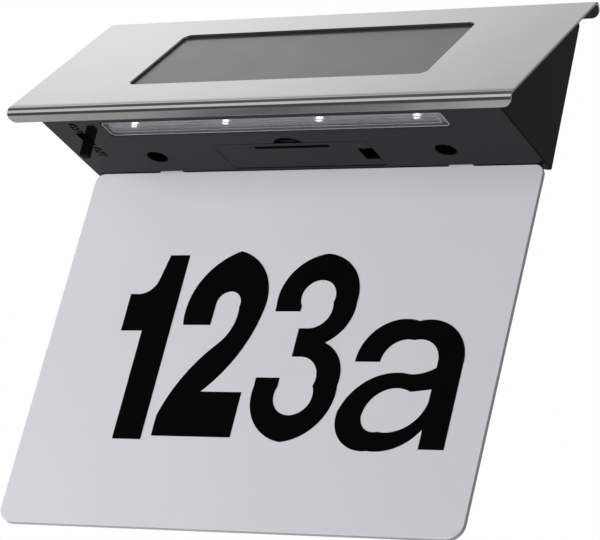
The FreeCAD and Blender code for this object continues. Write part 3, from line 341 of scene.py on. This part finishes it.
def dull_and_shaded_recesses(pen):
    """1 on the walls of holes and recesses in the underside, 0 on the outer faces: duller there, with
    painted shade.
    """
    above_face = axis(pen, "Z").between(UNDERSIDE + RECESS_STARTS, UNDERSIDE + RECESS_FULL)
    from_middle = pen.math("ABSOLUTE", axis(pen, "X"))
    return above_face * (1.0 - from_middle.between(END_WALL, END_WALL + END_FADE))


def black_gloss(pen):
    wipe = noise(pen, 14 * MM, 4.0, (0.5, 1, 1))
    dust = specks(pen, 2.2 * MM, 0.05)
    recess_mask = dull_and_shaded_recesses(pen)
    base = wipe.mix((0.005, 0.005, 0.006, 1), (0.008, 0.0075, 0.0095, 1))
    # painted shade: the walls of holes and recesses get a darker colour
    recess_painted_shade = recess_mask.mix(base, grey(0.002))
    return {
        "Base Color": (0.25 * dust).mix(recess_painted_shade, grey(0.3)),
        "Roughness": 0.06 + 0.06 * wipe + 0.3 * dust + 0.5 * recess_mask,
        "IOR": 1.45,
        "Specular IOR Level": 0.12,
        "height": (noise(pen, 9 * MM, 2.0), 0.012 * MM),
    }


def black_moulding(pen):
    grain = noise(pen, 0.5 * MM, 3.0)
    flow = noise(pen, 22 * MM, 3.0)
    return {
        "Base Color": flow.mix(grey(0.011), grey(0.019)),
        "Roughness": 0.42 + 0.18 * grain + 0.08 * flow,
        "IOR": 1.5,
        "height": (grain, 0.03 * MM),
    }


make(black_gloss, black_moulding)

# %% [markdown]
# ## White acrylic and black film
# The number panel is opal acrylic, white right through and polished: a slightly cool white with a smooth
# surface. Very fine wiping marks and a few specks keep it from looking like paper. The figures are cut
# from matt vinyl film, which has a fine grain and the slight orange peel of its glue.

# %% Panel and figure finishes
WIPE_TURN = (0, math.radians(30), 0)


def white_acrylic(pen):
    haze = noise(pen, 45 * MM, 3.0)
    wipe = noise(pen, 3 * MM, 3.0, (0.2, 1, 1), WIPE_TURN)
    dust = specks(pen, 5.5 * MM, 0.035)
    base = haze.mix((0.785, 0.792, 0.828, 1), (0.82, 0.827, 0.86, 1))
    return {
        "Base Color": (0.35 * dust).mix(base, grey(0.35)),
        "Roughness": 0.10 + 0.08 * wipe,
        "IOR": 1.49,
        "height": (noise(pen, 30 * MM, 1.0), 0.02 * MM),
    }


def black_film(pen):
    grain = noise(pen, 0.25 * MM, 2.0)
    peel = noise(pen, 7 * MM, 3.0)
    return {
        "Base Color": peel.mix(grey(0.001), grey(0.002)),
        "Roughness": 0.38 + 0.12 * grain,
        "IOR": 1.42,
        "Specular IOR Level": 0.04,
        "height": (grain + 0.6 * peel, 0.006 * MM),
    }


make(white_acrylic, black_film)

# %% [markdown]
# ## Clear lens and glowing gel
# The lamp strip is clear polystyrene, a little smoky with age. It transmits light, and its moulded skin
# has a slight ripple that breaks up the reflections of the diodes. Pale rings at its edges are a painted
# highlight, for the light that leaves the strip there. The silicone in each diode glows, because the lamp
# is on.

# %% Lens and gel finishes
GLOW = 6.0


def clear_lens(pen):
    ripple = noise(pen, 6 * MM, 2.0)
    return {
        "Base Color": ripple.mix((0.86, 0.87, 0.91, 1), (0.92, 0.93, 0.96, 1)),
        "Roughness": 0.03 + 0.03 * ripple,
        "Alpha": 0.45 + 0.08 * ripple,
        "Transmission Weight": 0.88,
        "IOR": 1.45,
        "height": (ripple, 0.004 * MM),
    }


# painted highlight: a pale, streaky finish for the rings that stand for light leaving the strip's edges
def lens_edge_glint(pen):
    glint_streaks = noise(pen, 1.2 * MM, 3.0, (0.2, 1, 1))
    return {
        "Base Color": glint_streaks.mix((0.60, 0.60, 0.66, 1), (0.74, 0.74, 0.80, 1)),
        "Roughness": 0.30 + 0.2 * glint_streaks,
        "Alpha": 0.45 + 0.3 * glint_streaks,
        "height": (glint_streaks, 0.01 * MM),
    }


def lamp_gel(pen):
    flow = noise(pen, 0.8 * MM, 2.0)
    return {
        "Base Color": flow.mix((0.85, 0.83, 0.70, 1), (0.92, 0.91, 0.80, 1)),
        "Roughness": 0.15 + 0.1 * flow,
        "Emission Color": flow.mix((0.80, 0.82, 0.85, 1), (1.0, 1.0, 1.0, 1)),
        "Emission Strength": GLOW,
    }


make(clear_lens, lens_edge_glint, lamp_gel)

# %% [markdown]
# ## Boards
# The boards show only through gaps and the lens, but each is a real material: woven glass under
# lacquer. A second noise with a hard threshold stands for the copper tracks. The diodes' bodies are a
# white ceramic.

# %% Board finishes
TRACK_EDGE = (0.52, 0.55)


def circuit_board(pen):
    weave = noise(pen, 0.5 * MM, 2.0, (1, 0.3, 1))
    tracks = noise(pen, 3 * MM, 0.0).between(*TRACK_EDGE)
    base = weave.mix((0.02, 0.13, 0.045, 1), (0.03, 0.17, 0.06, 1))
    return {
        "Base Color": (0.6 * tracks).mix(base, (0.05, 0.24, 0.09, 1)),
        "Roughness": 0.28 + 0.15 * weave,
        "height": (tracks, 0.02 * MM),
    }


def white_board(pen):
    weave = noise(pen, 0.5 * MM, 2.0, (1, 0.3, 1))
    tracks = noise(pen, 4 * MM, 0.0, (0.3, 1, 1)).between(*TRACK_EDGE)
    base = weave.mix((0.66, 0.67, 0.66, 1), (0.72, 0.73, 0.71, 1))
    return {
        "Base Color": (0.5 * tracks).mix(base, (0.60, 0.61, 0.58, 1)),
        "Roughness": 0.30 + 0.15 * weave,
        "height": (tracks, 0.02 * MM),
    }


def led_white(pen):
    flow = noise(pen, 0.8 * MM, 2.0)
    return {
        "Base Color": flow.mix((0.80, 0.80, 0.76, 1), (0.88, 0.88, 0.84, 1)),
        "Roughness": 0.35 + 0.15 * flow,
    }


make(circuit_board, white_board, led_white)

# %% [markdown]
# ## Battery and metal
# The rechargeable cell shows when its lid hangs open: it has a green shrink sleeve with a silver band at
# its left end. The contacts are nickel plated and scuffed, and the screws are plated with zinc, which
# stains.

# %% Battery and metal finishes
SLEEVE_END = (-17.0 * MM, -16.8 * MM)


def cell_sleeve(pen):
    band = axis(pen, "X").between(*SLEEVE_END)
    shrink = noise(pen, 4 * MM, 3.0, (0.3, 1, 1))
    colour = band.mix((0.55, 0.56, 0.57, 1), (0.03, 0.20, 0.07, 1))
    return {
        "Base Color": (0.3 * shrink).mix(colour, (0.06, 0.30, 0.12, 1)),
        "Roughness": 0.20 + 0.15 * shrink,
        "height": (shrink, 0.02 * MM),
    }


def nickel(pen):
    scuff = noise(pen, 1.2 * MM, 4.0, (0.2, 1, 1))
    return {
        "Base Color": scuff.mix((0.60, 0.59, 0.56, 1), (0.76, 0.75, 0.72, 1)),
        "Metallic": 1.0,
        "Roughness": 0.22 + 0.2 * scuff,
        "height": (scuff, 0.004 * MM),
    }


def zinc_screw(pen):
    lathe = noise(pen, 0.4 * MM, 3.0)
    stain = noise(pen, 2.0 * MM, 2.0)
    return {
        "Base Color": stain.mix((0.42, 0.42, 0.41, 1), (0.62, 0.62, 0.60, 1)),
        "Metallic": 1.0,
        "Roughness": 0.28 + 0.2 * lathe,
        "height": (lathe, 0.006 * MM),
    }


make(cell_sleeve, nickel, zinc_screw)

# %% [markdown]
# ## Switch and small parts
# The switch has a matt black knob on a fibre base. Beside it on the board sit the controller and the
# inductor. The wires are red, and foam tape holds the solar cell.

# %% Finishes of the small parts
def knob_black(pen):
    grain = noise(pen, 0.3 * MM, 3.0)
    return {
        "Base Color": grain.mix(grey(0.002), grey(0.004)),
        "Roughness": 0.45 + 0.15 * grain,
        "IOR": 1.4,
        "Specular IOR Level": 0.12,
        "height": (grain, 0.01 * MM),
    }


def terminal_base(pen):
    fibre = noise(pen, 0.6 * MM, 4.0, (0.25, 1, 1))
    return {
        "Base Color": fibre.mix((0.14, 0.07, 0.035, 1), (0.24, 0.13, 0.07, 1)),
        "Roughness": 0.45 + 0.2 * fibre,
        "height": (fibre, 0.01 * MM),
    }


def chip_black(pen):
    grain = noise(pen, 0.2 * MM, 3.0)
    return {
        "Base Color": grain.mix(grey(0.012), grey(0.022)),
        "Roughness": 0.55 + 0.15 * grain,
        "height": (grain, 0.01 * MM),
    }


def inductor_green(pen):
    run = noise(pen, 1.2 * MM, 3.0)
    return {
        "Base Color": run.mix((0.06, 0.22, 0.10, 1), (0.12, 0.34, 0.17, 1)),
        "Roughness": 0.15 + 0.15 * run,
        "height": (run, 0.02 * MM),
    }


def lead_red(pen):
    wear = noise(pen, 1.5 * MM, 3.0)
    return {
        "Base Color": wear.mix((0.36, 0.02, 0.015, 1), (0.5, 0.035, 0.025, 1)),
        "Roughness": 0.38 + 0.15 * wear,
        "height": (wear, 0.01 * MM),
    }


def foam_tape(pen):
    cells = noise(pen, 0.3 * MM, 4.0)
    return {
        "Base Color": cells.mix(grey(0.02), grey(0.07)),
        "Roughness": 0.8 + 0.15 * cells,
        "height": (cells, 0.05 * MM),
    }


make(knob_black, terminal_base, chip_black, inductor_green, lead_red, foam_tape)

# %% [markdown]
# ## Finishes on the pieces
# The record gives each node a material slot, and the finishes are named after the slots. So every node
# takes the finish of its slot, and nothing is missed.

# %% Give every node its finish
def dress(piece, slot):
    """Give a piece one finish all over."""
    piece.data.materials.clear()
    piece.data.materials.append(materials[slot])


slot_of = {part["node"]: part["material_slot"] for part in frame["record"]["subparts"]}
for name, node in frame["nodes"].items():
    dress(node, slot_of[name])
print(len(slot_of), "nodes dressed with", len(set(slot_of.values())), "of", len(materials), "finishes")

# %% [markdown]
# ## Edges that catch the light
# The engineering pieces have knife-sharp edges and flat facets on their bends. Real sheet is deburred and
# a moulded edge has the radius of its tool, and that thin line of light is what makes a piece look real.
# Each visible shell is copied, its loose triangles are merged and dissolved into clean faces, and the
# long sharp edges get a narrow bevel. Smooth shading stops at every crease that is left, and weighted
# normals keep the big faces flat right up to their bevels.

# %% Steps of softening
MERGE = 0.001 * MM
FLAT = math.radians(0.6)
SHARP = math.radians(35)
CREASE = math.radians(20)
BEVEL_SEGMENTS = 2
BEVEL_PROFILE = 0.6
LARGE_FACES_LEAD = 100


def only(piece):
    """Select this piece and nothing else."""
    bpy.ops.object.select_all(action="DESELECT")
    piece.select_set(True)
    bpy.context.view_layer.objects.active = piece


def clean_copy(name):
    """A copy of a node whose triangles are merged into clean faces, with its sharp edges selected."""
    node = frame["nodes"][name]
    piece = node.copy()
    piece.data = node.data.copy()
    piece.name = name + "_finished"
    bpy.context.scene.collection.objects.link(piece)
    only(piece)
    bpy.ops.object.mode_set(mode="EDIT")
    bpy.ops.mesh.select_all(action="SELECT")
    bpy.ops.mesh.remove_doubles(threshold=MERGE)
    bpy.ops.mesh.dissolve_limited(angle_limit=FLAT)
    bpy.ops.mesh.select_all(action="DESELECT")
    bpy.ops.mesh.select_mode(type="EDGE")
    bpy.ops.mesh.edges_select_sharp(sharpness=SHARP)
    bpy.ops.object.mode_set(mode="OBJECT")
    return piece


def bevel_edges(piece, width, shortest):
    """Bevel the selected edges, apart from those under the shortest length."""
    corners = piece.data.vertices
    for edge in piece.data.edges:
        first, second = [corners[index].co for index in edge.vertices]
        if (first - second).length < shortest:
            edge.select = False
    bpy.ops.object.mode_set(mode="EDIT")
    bpy.ops.mesh.bevel(offset=width, segments=BEVEL_SEGMENTS, profile=BEVEL_PROFILE, clamp_overlap=False)
    bpy.ops.mesh.select_all(action="SELECT")
    bpy.ops.mesh.remove_doubles(threshold=MERGE)
    bpy.ops.object.mode_set(mode="OBJECT")


def shade(piece):
    """Smooth shading up to the creases, led by the large faces."""
    bpy.ops.object.shade_smooth_by_angle(angle=CREASE)
    weigh = piece.modifiers.new("large faces lead", "WEIGHTED_NORMAL")
    weigh.weight = LARGE_FACES_LEAD
    weigh.keep_sharp = True
    bpy.ops.object.modifier_apply(modifier=weigh.name)


# %% [markdown]
# ## Which edges are softened
# A polished acrylic edge is the roundest and a small moulding's the sharpest. The housing and the lid
# have very short edges round their latch and hinge, which stay sharp, because a bevel there would be
# wider than the edge is long.

# %% Softened copies
SOFT_EDGES_MM = {
    "roof_cover": (0.10, 0.0),
    "battery_lid": (0.12, 0.9),
    "number_panel": (0.20, 0.0),
    "led_lens": (0.05, 0.0),
    "switch_knob": (0.05, 0.0),
    "housing_shell": (0.12, 1.2),
}
body_of = {node: body for body, nodes in frame["record"]["behaviour"]["bodies"].items() for node in nodes}

for name, (width, shortest) in SOFT_EDGES_MM.items():
    soft_piece = clean_copy(name)
    bevel_edges(soft_piece, width * MM, shortest * MM)
    shade(soft_piece)
    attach(soft_piece, body_of[name])
    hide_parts(name)
    print(soft_piece.name, "has", len(soft_piece.data.polygons), "faces")

# %% [markdown]
# ## The words beside the switch
# ON and OFF are raised letters of the moulding, one word at each end of the slot. A text object makes
# them: it is turned so that it reads from below, extruded by the letters' height, and then becomes a mesh
# whose place is applied, so that its finish lies in the sign's own metres. A text's front, rim and back
# come apart when it becomes a mesh, so its doubles are merged to close it.

# %% Raised words
LETTER_SIZE = 4.1 * MM
LETTER_HEIGHT = 0.40 * MM
LETTER_BEVEL = 0.12 * MM
CURVE_STEPS = 4
knob_low, knob_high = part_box("switch_knob")
WORD_X = (knob_low[0] + knob_high[0]) / 2
ON_Y = -40.2 * MM
OFF_Y = -21.6 * MM
READ_FROM_BELOW = Matrix(((0, 1, 0), (1, 0, 0), (0, 0, -1))).to_4x4()


def raised_word(name, word, size, place, turn, body):
    """Letters that stand on the face at this place, turned to be read from one side."""
    bpy.ops.object.select_all(action="DESELECT")
    bpy.ops.object.text_add()
    letters = bpy.context.object
    letters.name = name
    letters.data.body = word
    letters.data.size = size
    letters.data.align_x = "CENTER"
    letters.data.align_y = "CENTER"
    letters.data.extrude = LETTER_HEIGHT / 2
    letters.data.bevel_depth = LETTER_BEVEL
    letters.data.resolution_u = CURVE_STEPS
    letters.matrix_world = Matrix.Translation(place) @ turn
    bpy.ops.object.convert(target="MESH")
    bpy.ops.object.transform_apply(location=True, rotation=True, scale=True)
    word_piece = bpy.context.object
    bpy.ops.object.mode_set(mode="EDIT")
    bpy.ops.mesh.select_all(action="SELECT")
    bpy.ops.mesh.remove_doubles(threshold=MERGE)
    bpy.ops.mesh.normals_make_consistent(inside=False)
    bpy.ops.object.mode_set(mode="OBJECT")
    bpy.ops.object.shade_smooth_by_angle(angle=SHARP)
    dress(word_piece, "black_gloss")
    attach(word_piece, body)
    print(name, "measures", [round(length / MM, 1) for length in word_piece.dimensions], "mm")


raised_word("word_on", "ON", LETTER_SIZE, (WORD_X, ON_Y, UNDERSIDE), READ_FROM_BELOW, "housing")
raised_word("word_off", "OFF", LETTER_SIZE, (WORD_X, OFF_Y, UNDERSIDE), READ_FROM_BELOW, "housing")

# %% [markdown]
# ## Which way the cell goes in
# The lid's inner face shows the cell's direction, a plus at its right end and a minus at its left. They
# ride on the lid, so they swing down with it and show when it hangs open.

# %% Marks in the lid
MARK_SIZE = 6.0 * MM
MARK_INSET = 6 * MM
READ_FROM_ABOVE = Matrix.Identity(4)
LID_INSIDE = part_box("battery_lid")[1][2]
cell_low, cell_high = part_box("battery_cell")
CELL_Y = (cell_low[1] + cell_high[1]) / 2
plus_place = (cell_high[0] - MARK_INSET, CELL_Y, LID_INSIDE)
minus_place = (cell_low[0] + MARK_INSET, CELL_Y, LID_INSIDE)
raised_word("lid_mark_plus", "+", MARK_SIZE, plus_place, READ_FROM_ABOVE, "battery_lid")
raised_word("lid_mark_minus", "-", MARK_SIZE, minus_place, READ_FROM_ABOVE, "battery_lid")

# %% [markdown]
# ## Glints of the lamp strip
# Light that enters the clear strip leaves it again at its moulded edges, so two pale lines run round its
# face: one at the rim and one above the inner wall. Each is a painted highlight on a flat ring: a plane
# of the strip's size with its corners bevelled, inset, opened and extruded by a tenth of a millimetre.
# They lie in the recess between the strip's face and the underside.

# %% Painted glint rings of the lens
GLINT_RING_HEIGHT = 0.10 * MM
LENS_FLANGE = 1.6 * MM
LENS_CORNER = 1.6 * MM
CORNER_SEGMENTS = 8
lens_low, lens_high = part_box("led_lens")
LENS_MIDDLE = Vector(((lens_low[0] + lens_high[0]) / 2, (lens_low[1] + lens_high[1]) / 2, lens_low[2]))
LENS_LENGTH = lens_high[0] - lens_low[0] - 2 * LENS_FLANGE
LENS_WIDTH = lens_high[1] - lens_low[1] - 2 * LENS_FLANGE


def glint_ring(name, inset, breadth):
    """Ring of painted highlight on the strip's face, so far in from its edge."""
    bpy.ops.object.select_all(action="DESELECT")
    bpy.ops.mesh.primitive_plane_add(size=1, location=LENS_MIDDLE)
    ring = bpy.context.object
    ring.name = name
    ring.scale = (LENS_LENGTH - 2 * inset, LENS_WIDTH - 2 * inset, 1)
    bpy.ops.object.transform_apply(location=True, rotation=True, scale=True)
    bpy.ops.object.mode_set(mode="EDIT")
    bpy.ops.mesh.select_all(action="SELECT")
    bpy.ops.mesh.bevel(offset=LENS_CORNER - inset / 2, segments=CORNER_SEGMENTS, affect="VERTICES")
    bpy.ops.mesh.select_all(action="SELECT")
    bpy.ops.mesh.inset(thickness=breadth)
    bpy.ops.mesh.delete(type="FACE")
    bpy.ops.mesh.select_all(action="SELECT")
    bpy.ops.mesh.extrude_region_move(TRANSFORM_OT_translate={"value": (0, 0, -GLINT_RING_HEIGHT)})
    bpy.ops.mesh.select_all(action="SELECT")
    bpy.ops.mesh.normals_make_consistent(inside=False)
    bpy.ops.object.mode_set(mode="OBJECT")
    bpy.ops.object.shade_smooth_by_angle(angle=SHARP)
    dress(ring, "lens_edge_glint")
    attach(ring, "housing")
    print(name, "has", len(ring.data.polygons), "faces")


# painted highlight: two pale rings where light leaves the strip's edges
glint_ring("lens_glint_rim", 0.0, 0.42 * MM)
glint_ring("lens_glint_inner", 2.3 * MM, 0.30 * MM)

# %% [markdown]
# ## Diode gel
# Each diode's well is filled with clear silicone that bulges a little. A cube of the well's size has its
# lower face inset and pushed out, and a subdivision surface rounds it. One pad is modelled, and the
# others are copies with a mesh of their own, a diode's pitch apart.

# %% Gel in the diodes
DIODE_COUNT = 4
DIODE_LENGTH = 3.5 * MM
GEL_LENGTH = 2.5 * MM
GEL_WIDTH = 1.4 * MM
GEL_DEPTH = 0.5 * MM
GEL_BULGE = 0.12 * MM
GEL_RIM = GEL_WIDTH / 5
FACES_DOWN = -0.9
ROUNDING_LEVELS = 3
diodes_low, diodes_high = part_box("leds")
FIRST_DIODE_X = diodes_low[0] + DIODE_LENGTH / 2
DIODES_Y = (diodes_low[1] + diodes_high[1]) / 2
DIODE_PITCH = (diodes_high[0] - diodes_low[0] - DIODE_LENGTH) / (DIODE_COUNT - 1)


def diode_gel():
    """Pad of gel in the first diode's well."""
    bpy.ops.object.select_all(action="DESELECT")
    place = (FIRST_DIODE_X, DIODES_Y, diodes_low[2] + GEL_DEPTH / 2)
    bpy.ops.mesh.primitive_cube_add(size=1, location=place)
    pad = bpy.context.object
    pad.scale = (GEL_LENGTH, GEL_WIDTH, GEL_DEPTH)
    bpy.ops.object.transform_apply(location=True, rotation=True, scale=True)
    bpy.ops.object.mode_set(mode="EDIT")
    bpy.ops.mesh.select_all(action="DESELECT")
    bpy.ops.object.mode_set(mode="OBJECT")
    for face in pad.data.polygons:
        face.select = face.normal.z < FACES_DOWN
    bpy.ops.object.mode_set(mode="EDIT")
    bpy.ops.mesh.select_mode(type="FACE")
    bpy.ops.mesh.inset(thickness=GEL_RIM)
    bpy.ops.transform.translate(value=(0, 0, -GEL_BULGE))
    bpy.ops.object.mode_set(mode="OBJECT")
    smooth = pad.modifiers.new("round", "SUBSURF")
    smooth.levels = ROUNDING_LEVELS
    smooth.render_levels = ROUNDING_LEVELS
    bpy.ops.object.modifier_apply(modifier=smooth.name)
    bpy.ops.object.shade_smooth()
    return pad


gels = [diode_gel()]
for index in range(1, DIODE_COUNT):
    gel = gels[0].copy()
    gel.data = gels[0].data.copy()
    gel.data.transform(Matrix.Translation((index * DIODE_PITCH, 0, 0)))
    bpy.context.scene.collection.objects.link(gel)
    gels.append(gel)
for number, gel in enumerate(gels, 1):
    gel.name = "diode_gel_" + str(number)
    dress(gel, "lamp_gel")
    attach(gel, "housing")
print("gel in", len(gels), "diodes,", round(DIODE_PITCH / MM, 1), "mm apart")

# %% [markdown]
# ## World
# The camera sees a white studio, but the sign mirrors a structured one, as in any real studio: a soft
# light above, brighter on the left, dim walls that are a little paler at the rear, and a pale strip low
# in front. The roof's brightness falls from left to right because the steel mirrors the edge of the
# bright part. The world reads only the direction of a ray: each pair below is where a change along one
# axis of that direction starts and where it is complete. What is not mirrored gets a share of it.

# %% World
WALL_LEVEL = 0.12
REAR_LEVEL = 0.24
SKY_LEVEL = 0.575
SKY_GAIN = 0.68
HORIZON_LEVEL = 0.62
SOFT_SHARE = 0.30
SKY_HEIGHT = (0.62, 0.84)
SKY_DEPTH = (-0.30, 0.34)
BRIGHT_SIDE = (-0.58, -0.345)
REAR_DEPTH = (0.2, 0.7)
FRONT_DEPTH = (-0.30, 0.0)
HORIZON_TOP = (0.34, 0.44)


def mirror_ray(pen):
    """1 for rays that come from a mirror or through glass."""
    mirrored = pen.node("ShaderNodeLightPath", output="Is Glossy Ray")
    passed = pen.node("ShaderNodeLightPath", output="Is Transmission Ray")
    return pen.math("MAXIMUM", mirrored, passed)


def room_level(pen, mirrored):
    """Brightness of the room in a ray's direction."""
    ray = pen.node("ShaderNodeTexCoord", output="Generated")
    across, depth, height = [pen.node("ShaderNodeSeparateXYZ", None, {"Vector": ray}, letter)
                             for letter in "XYZ"]
    above = height.between(*SKY_HEIGHT) * depth.between(*SKY_DEPTH)
    left = 1.0 - across.between(*BRIGHT_SIDE)
    walls = WALL_LEVEL + (REAR_LEVEL - WALL_LEVEL) * depth.between(*REAR_DEPTH)
    room = walls + above * (SKY_LEVEL + SKY_GAIN * left - WALL_LEVEL)
    front = 1.0 - depth.between(*FRONT_DEPTH)
    horizon = front * (1.0 - height.between(*HORIZON_TOP))
    return room * (SOFT_SHARE + (1 - SOFT_SHARE) * mirrored) + mirrored * horizon * HORIZON_LEVEL


def studio_world():
    world = bpy.data.worlds.new("studio")
    world.use_nodes = True
    tree = world.node_tree
    tree.nodes.clear()
    pen = Wire(tree)
    seen = pen.node("ShaderNodeLightPath", output="Is Camera Ray")
    strength = seen + (1.0 - seen) * room_level(pen, mirror_ray(pen))
    light = pen.node("ShaderNodeBackground", None, {"Color": (1, 1, 1, 1), "Strength": strength})
    pen.node("ShaderNodeOutputWorld", None, {"Surface": light})
    print("the world has", len(tree.nodes), "shader nodes")
    return world


bpy.context.scene.world = studio_world()
bpy.context.scene.view_settings.view_transform = "Standard"

# %% [markdown]
# ## Lamps
# Area lamps are soft boxes. They light the panel and the floor, and they are hidden from the camera and
# from mirrors, because the steel and the gloss mirror the world's softer shapes. A lamp's power is worked
# out from its radiance, the brightness of its face, so that its size can change without its brightness.

# %% Lamps
SIGN_MIDDLE = Vector((0, 0, -0.075))
SOFT_BOXES = {
    "key_box": ((-1.3, -1.6, -0.80), (2.4, 1.3), 2.40),
    "left_box": ((-0.62, -0.62, -0.12), (0.5, 0.4), 4.9),
    "fill_box": ((1.5, -1.5, -0.6), (1.2, 1.2), 1.9),
    "rear_box": ((-0.8, 1.7, 0.35), (1.8, 1.2), 2.6),
}


def soft_box(name, place, size, radiance):
    """Rectangular lamp that faces the sign."""
    data = bpy.data.lights.new(name, "AREA")
    data.shape = "RECTANGLE"
    data.size, data.size_y = size
    data.energy = radiance * math.pi * size[0] * size[1]
    lamp = bpy.data.objects.new(name, data)
    lamp.matrix_world = aimed(Vector(place), SIGN_MIDDLE)
    lamp.visible_camera = False
    lamp.visible_glossy = False
    bpy.context.scene.collection.objects.link(lamp)
    print(name, "shines with", round(data.energy, 1), "watts")


for name, (place, size, radiance) in SOFT_BOXES.items():
    soft_box(name, place, size, radiance)

# %% [markdown]
# ## Floor
# The sign hangs high up, so the floor lies far below it. The camera sees plain pale paper. A mirror sees
# a painted reflection, because the folded edge of the roof looks down at it: there the floor's glow is
# painted dark in front, lit from the sign backwards and brightest far behind, and painted dark bands,
# standing for the feet of lamp stands, cross the lit part. A band is a rise and a fall along X, with
# noise added to X so that its sides aren't straight.

# %% Floor
FLOOR_SIZE = 12
FLOOR_HEIGHT = -1.5
PAPER_SEEN = 0.45
BEHIND = (0.2, 1.0)
BEHIND_LEVEL = 0.72
BEHIND_FALL = 0.36
BEHIND_FALL_X = (-2.1, -1.4)
NEAR = (-1.1, -0.7)
NEAR_LEVEL = 0.44
DARK_LEVEL = 0.07
WIDE_DARK_BAND = ((-0.97, -0.92), (-0.72, -0.66))
DARK_BAND_GAP = ((-0.82, -0.79), (-0.77, -0.74))
GAP_LIGHT = 0.7
NARROW_DARK_BAND = ((-1.08, -1.05), (-1.03, -1.00))
NARROW_SHADE = 0.6
RAGGED = 0.10
RAGGED_SIZE = 0.14
PAPER_CLOUD_SIZE = 0.4

bpy.ops.object.select_all(action="DESELECT")
bpy.ops.mesh.primitive_plane_add(size=FLOOR_SIZE, location=(0, 0, FLOOR_HEIGHT))
floor = bpy.context.object
floor.name = "floor"


def band(along, sides):
    """1 between a rise and a fall, 0 outside them."""
    rise, fall = sides
    return along.between(*rise) * (1.0 - along.between(*fall))


def painted_floor_reflection(pen):
    """Painted brightness of the floor in a mirror: a painted reflection, dark in front and lit behind,
    with dark bands.
    """
    depth = axis(pen, "Y")
    behind = depth.between(*BEHIND)
    ragged_x = axis(pen, "X") + RAGGED * noise(pen, RAGGED_SIZE, 2.0) - RAGGED / 2
    # painted shade: dark bands across the lit floor, standing for the feet of lamp stands
    wide = band(ragged_x, WIDE_DARK_BAND) * (1.0 - GAP_LIGHT * band(ragged_x, DARK_BAND_GAP))
    lit = 1.0 - pen.math("MAXIMUM", wide, NARROW_SHADE * band(ragged_x, NARROW_DARK_BAND))
    front_level = DARK_LEVEL + depth.between(*NEAR) * NEAR_LEVEL * lit
    behind_level = BEHIND_LEVEL - BEHIND_FALL * axis(pen, "X").between(*BEHIND_FALL_X)
    return behind_level * behind + (1.0 - behind) * front_level


def floor_paper(pen):
    seen = pen.node("ShaderNodeLightPath", output="Is Camera Ray")
    mirrored = mirror_ray(pen)
    # painted reflection: mirrors see painted light and dark in the floor's glow instead of its lit paper
    level = seen * PAPER_SEEN + mirrored * painted_floor_reflection(pen)
    paper = noise(pen, PAPER_CLOUD_SIZE, 2.0).mix(grey(0.66), grey(0.70))
    return {
        "Base Color": mirrored.mix(paper, grey(0.0)),
        "Roughness": 0.9,
        "Emission Color": level.mix(grey(0.0), grey(1.0)),
        "Emission Strength": 1.0,
    }


floor.data.materials.append(finish(floor_paper))
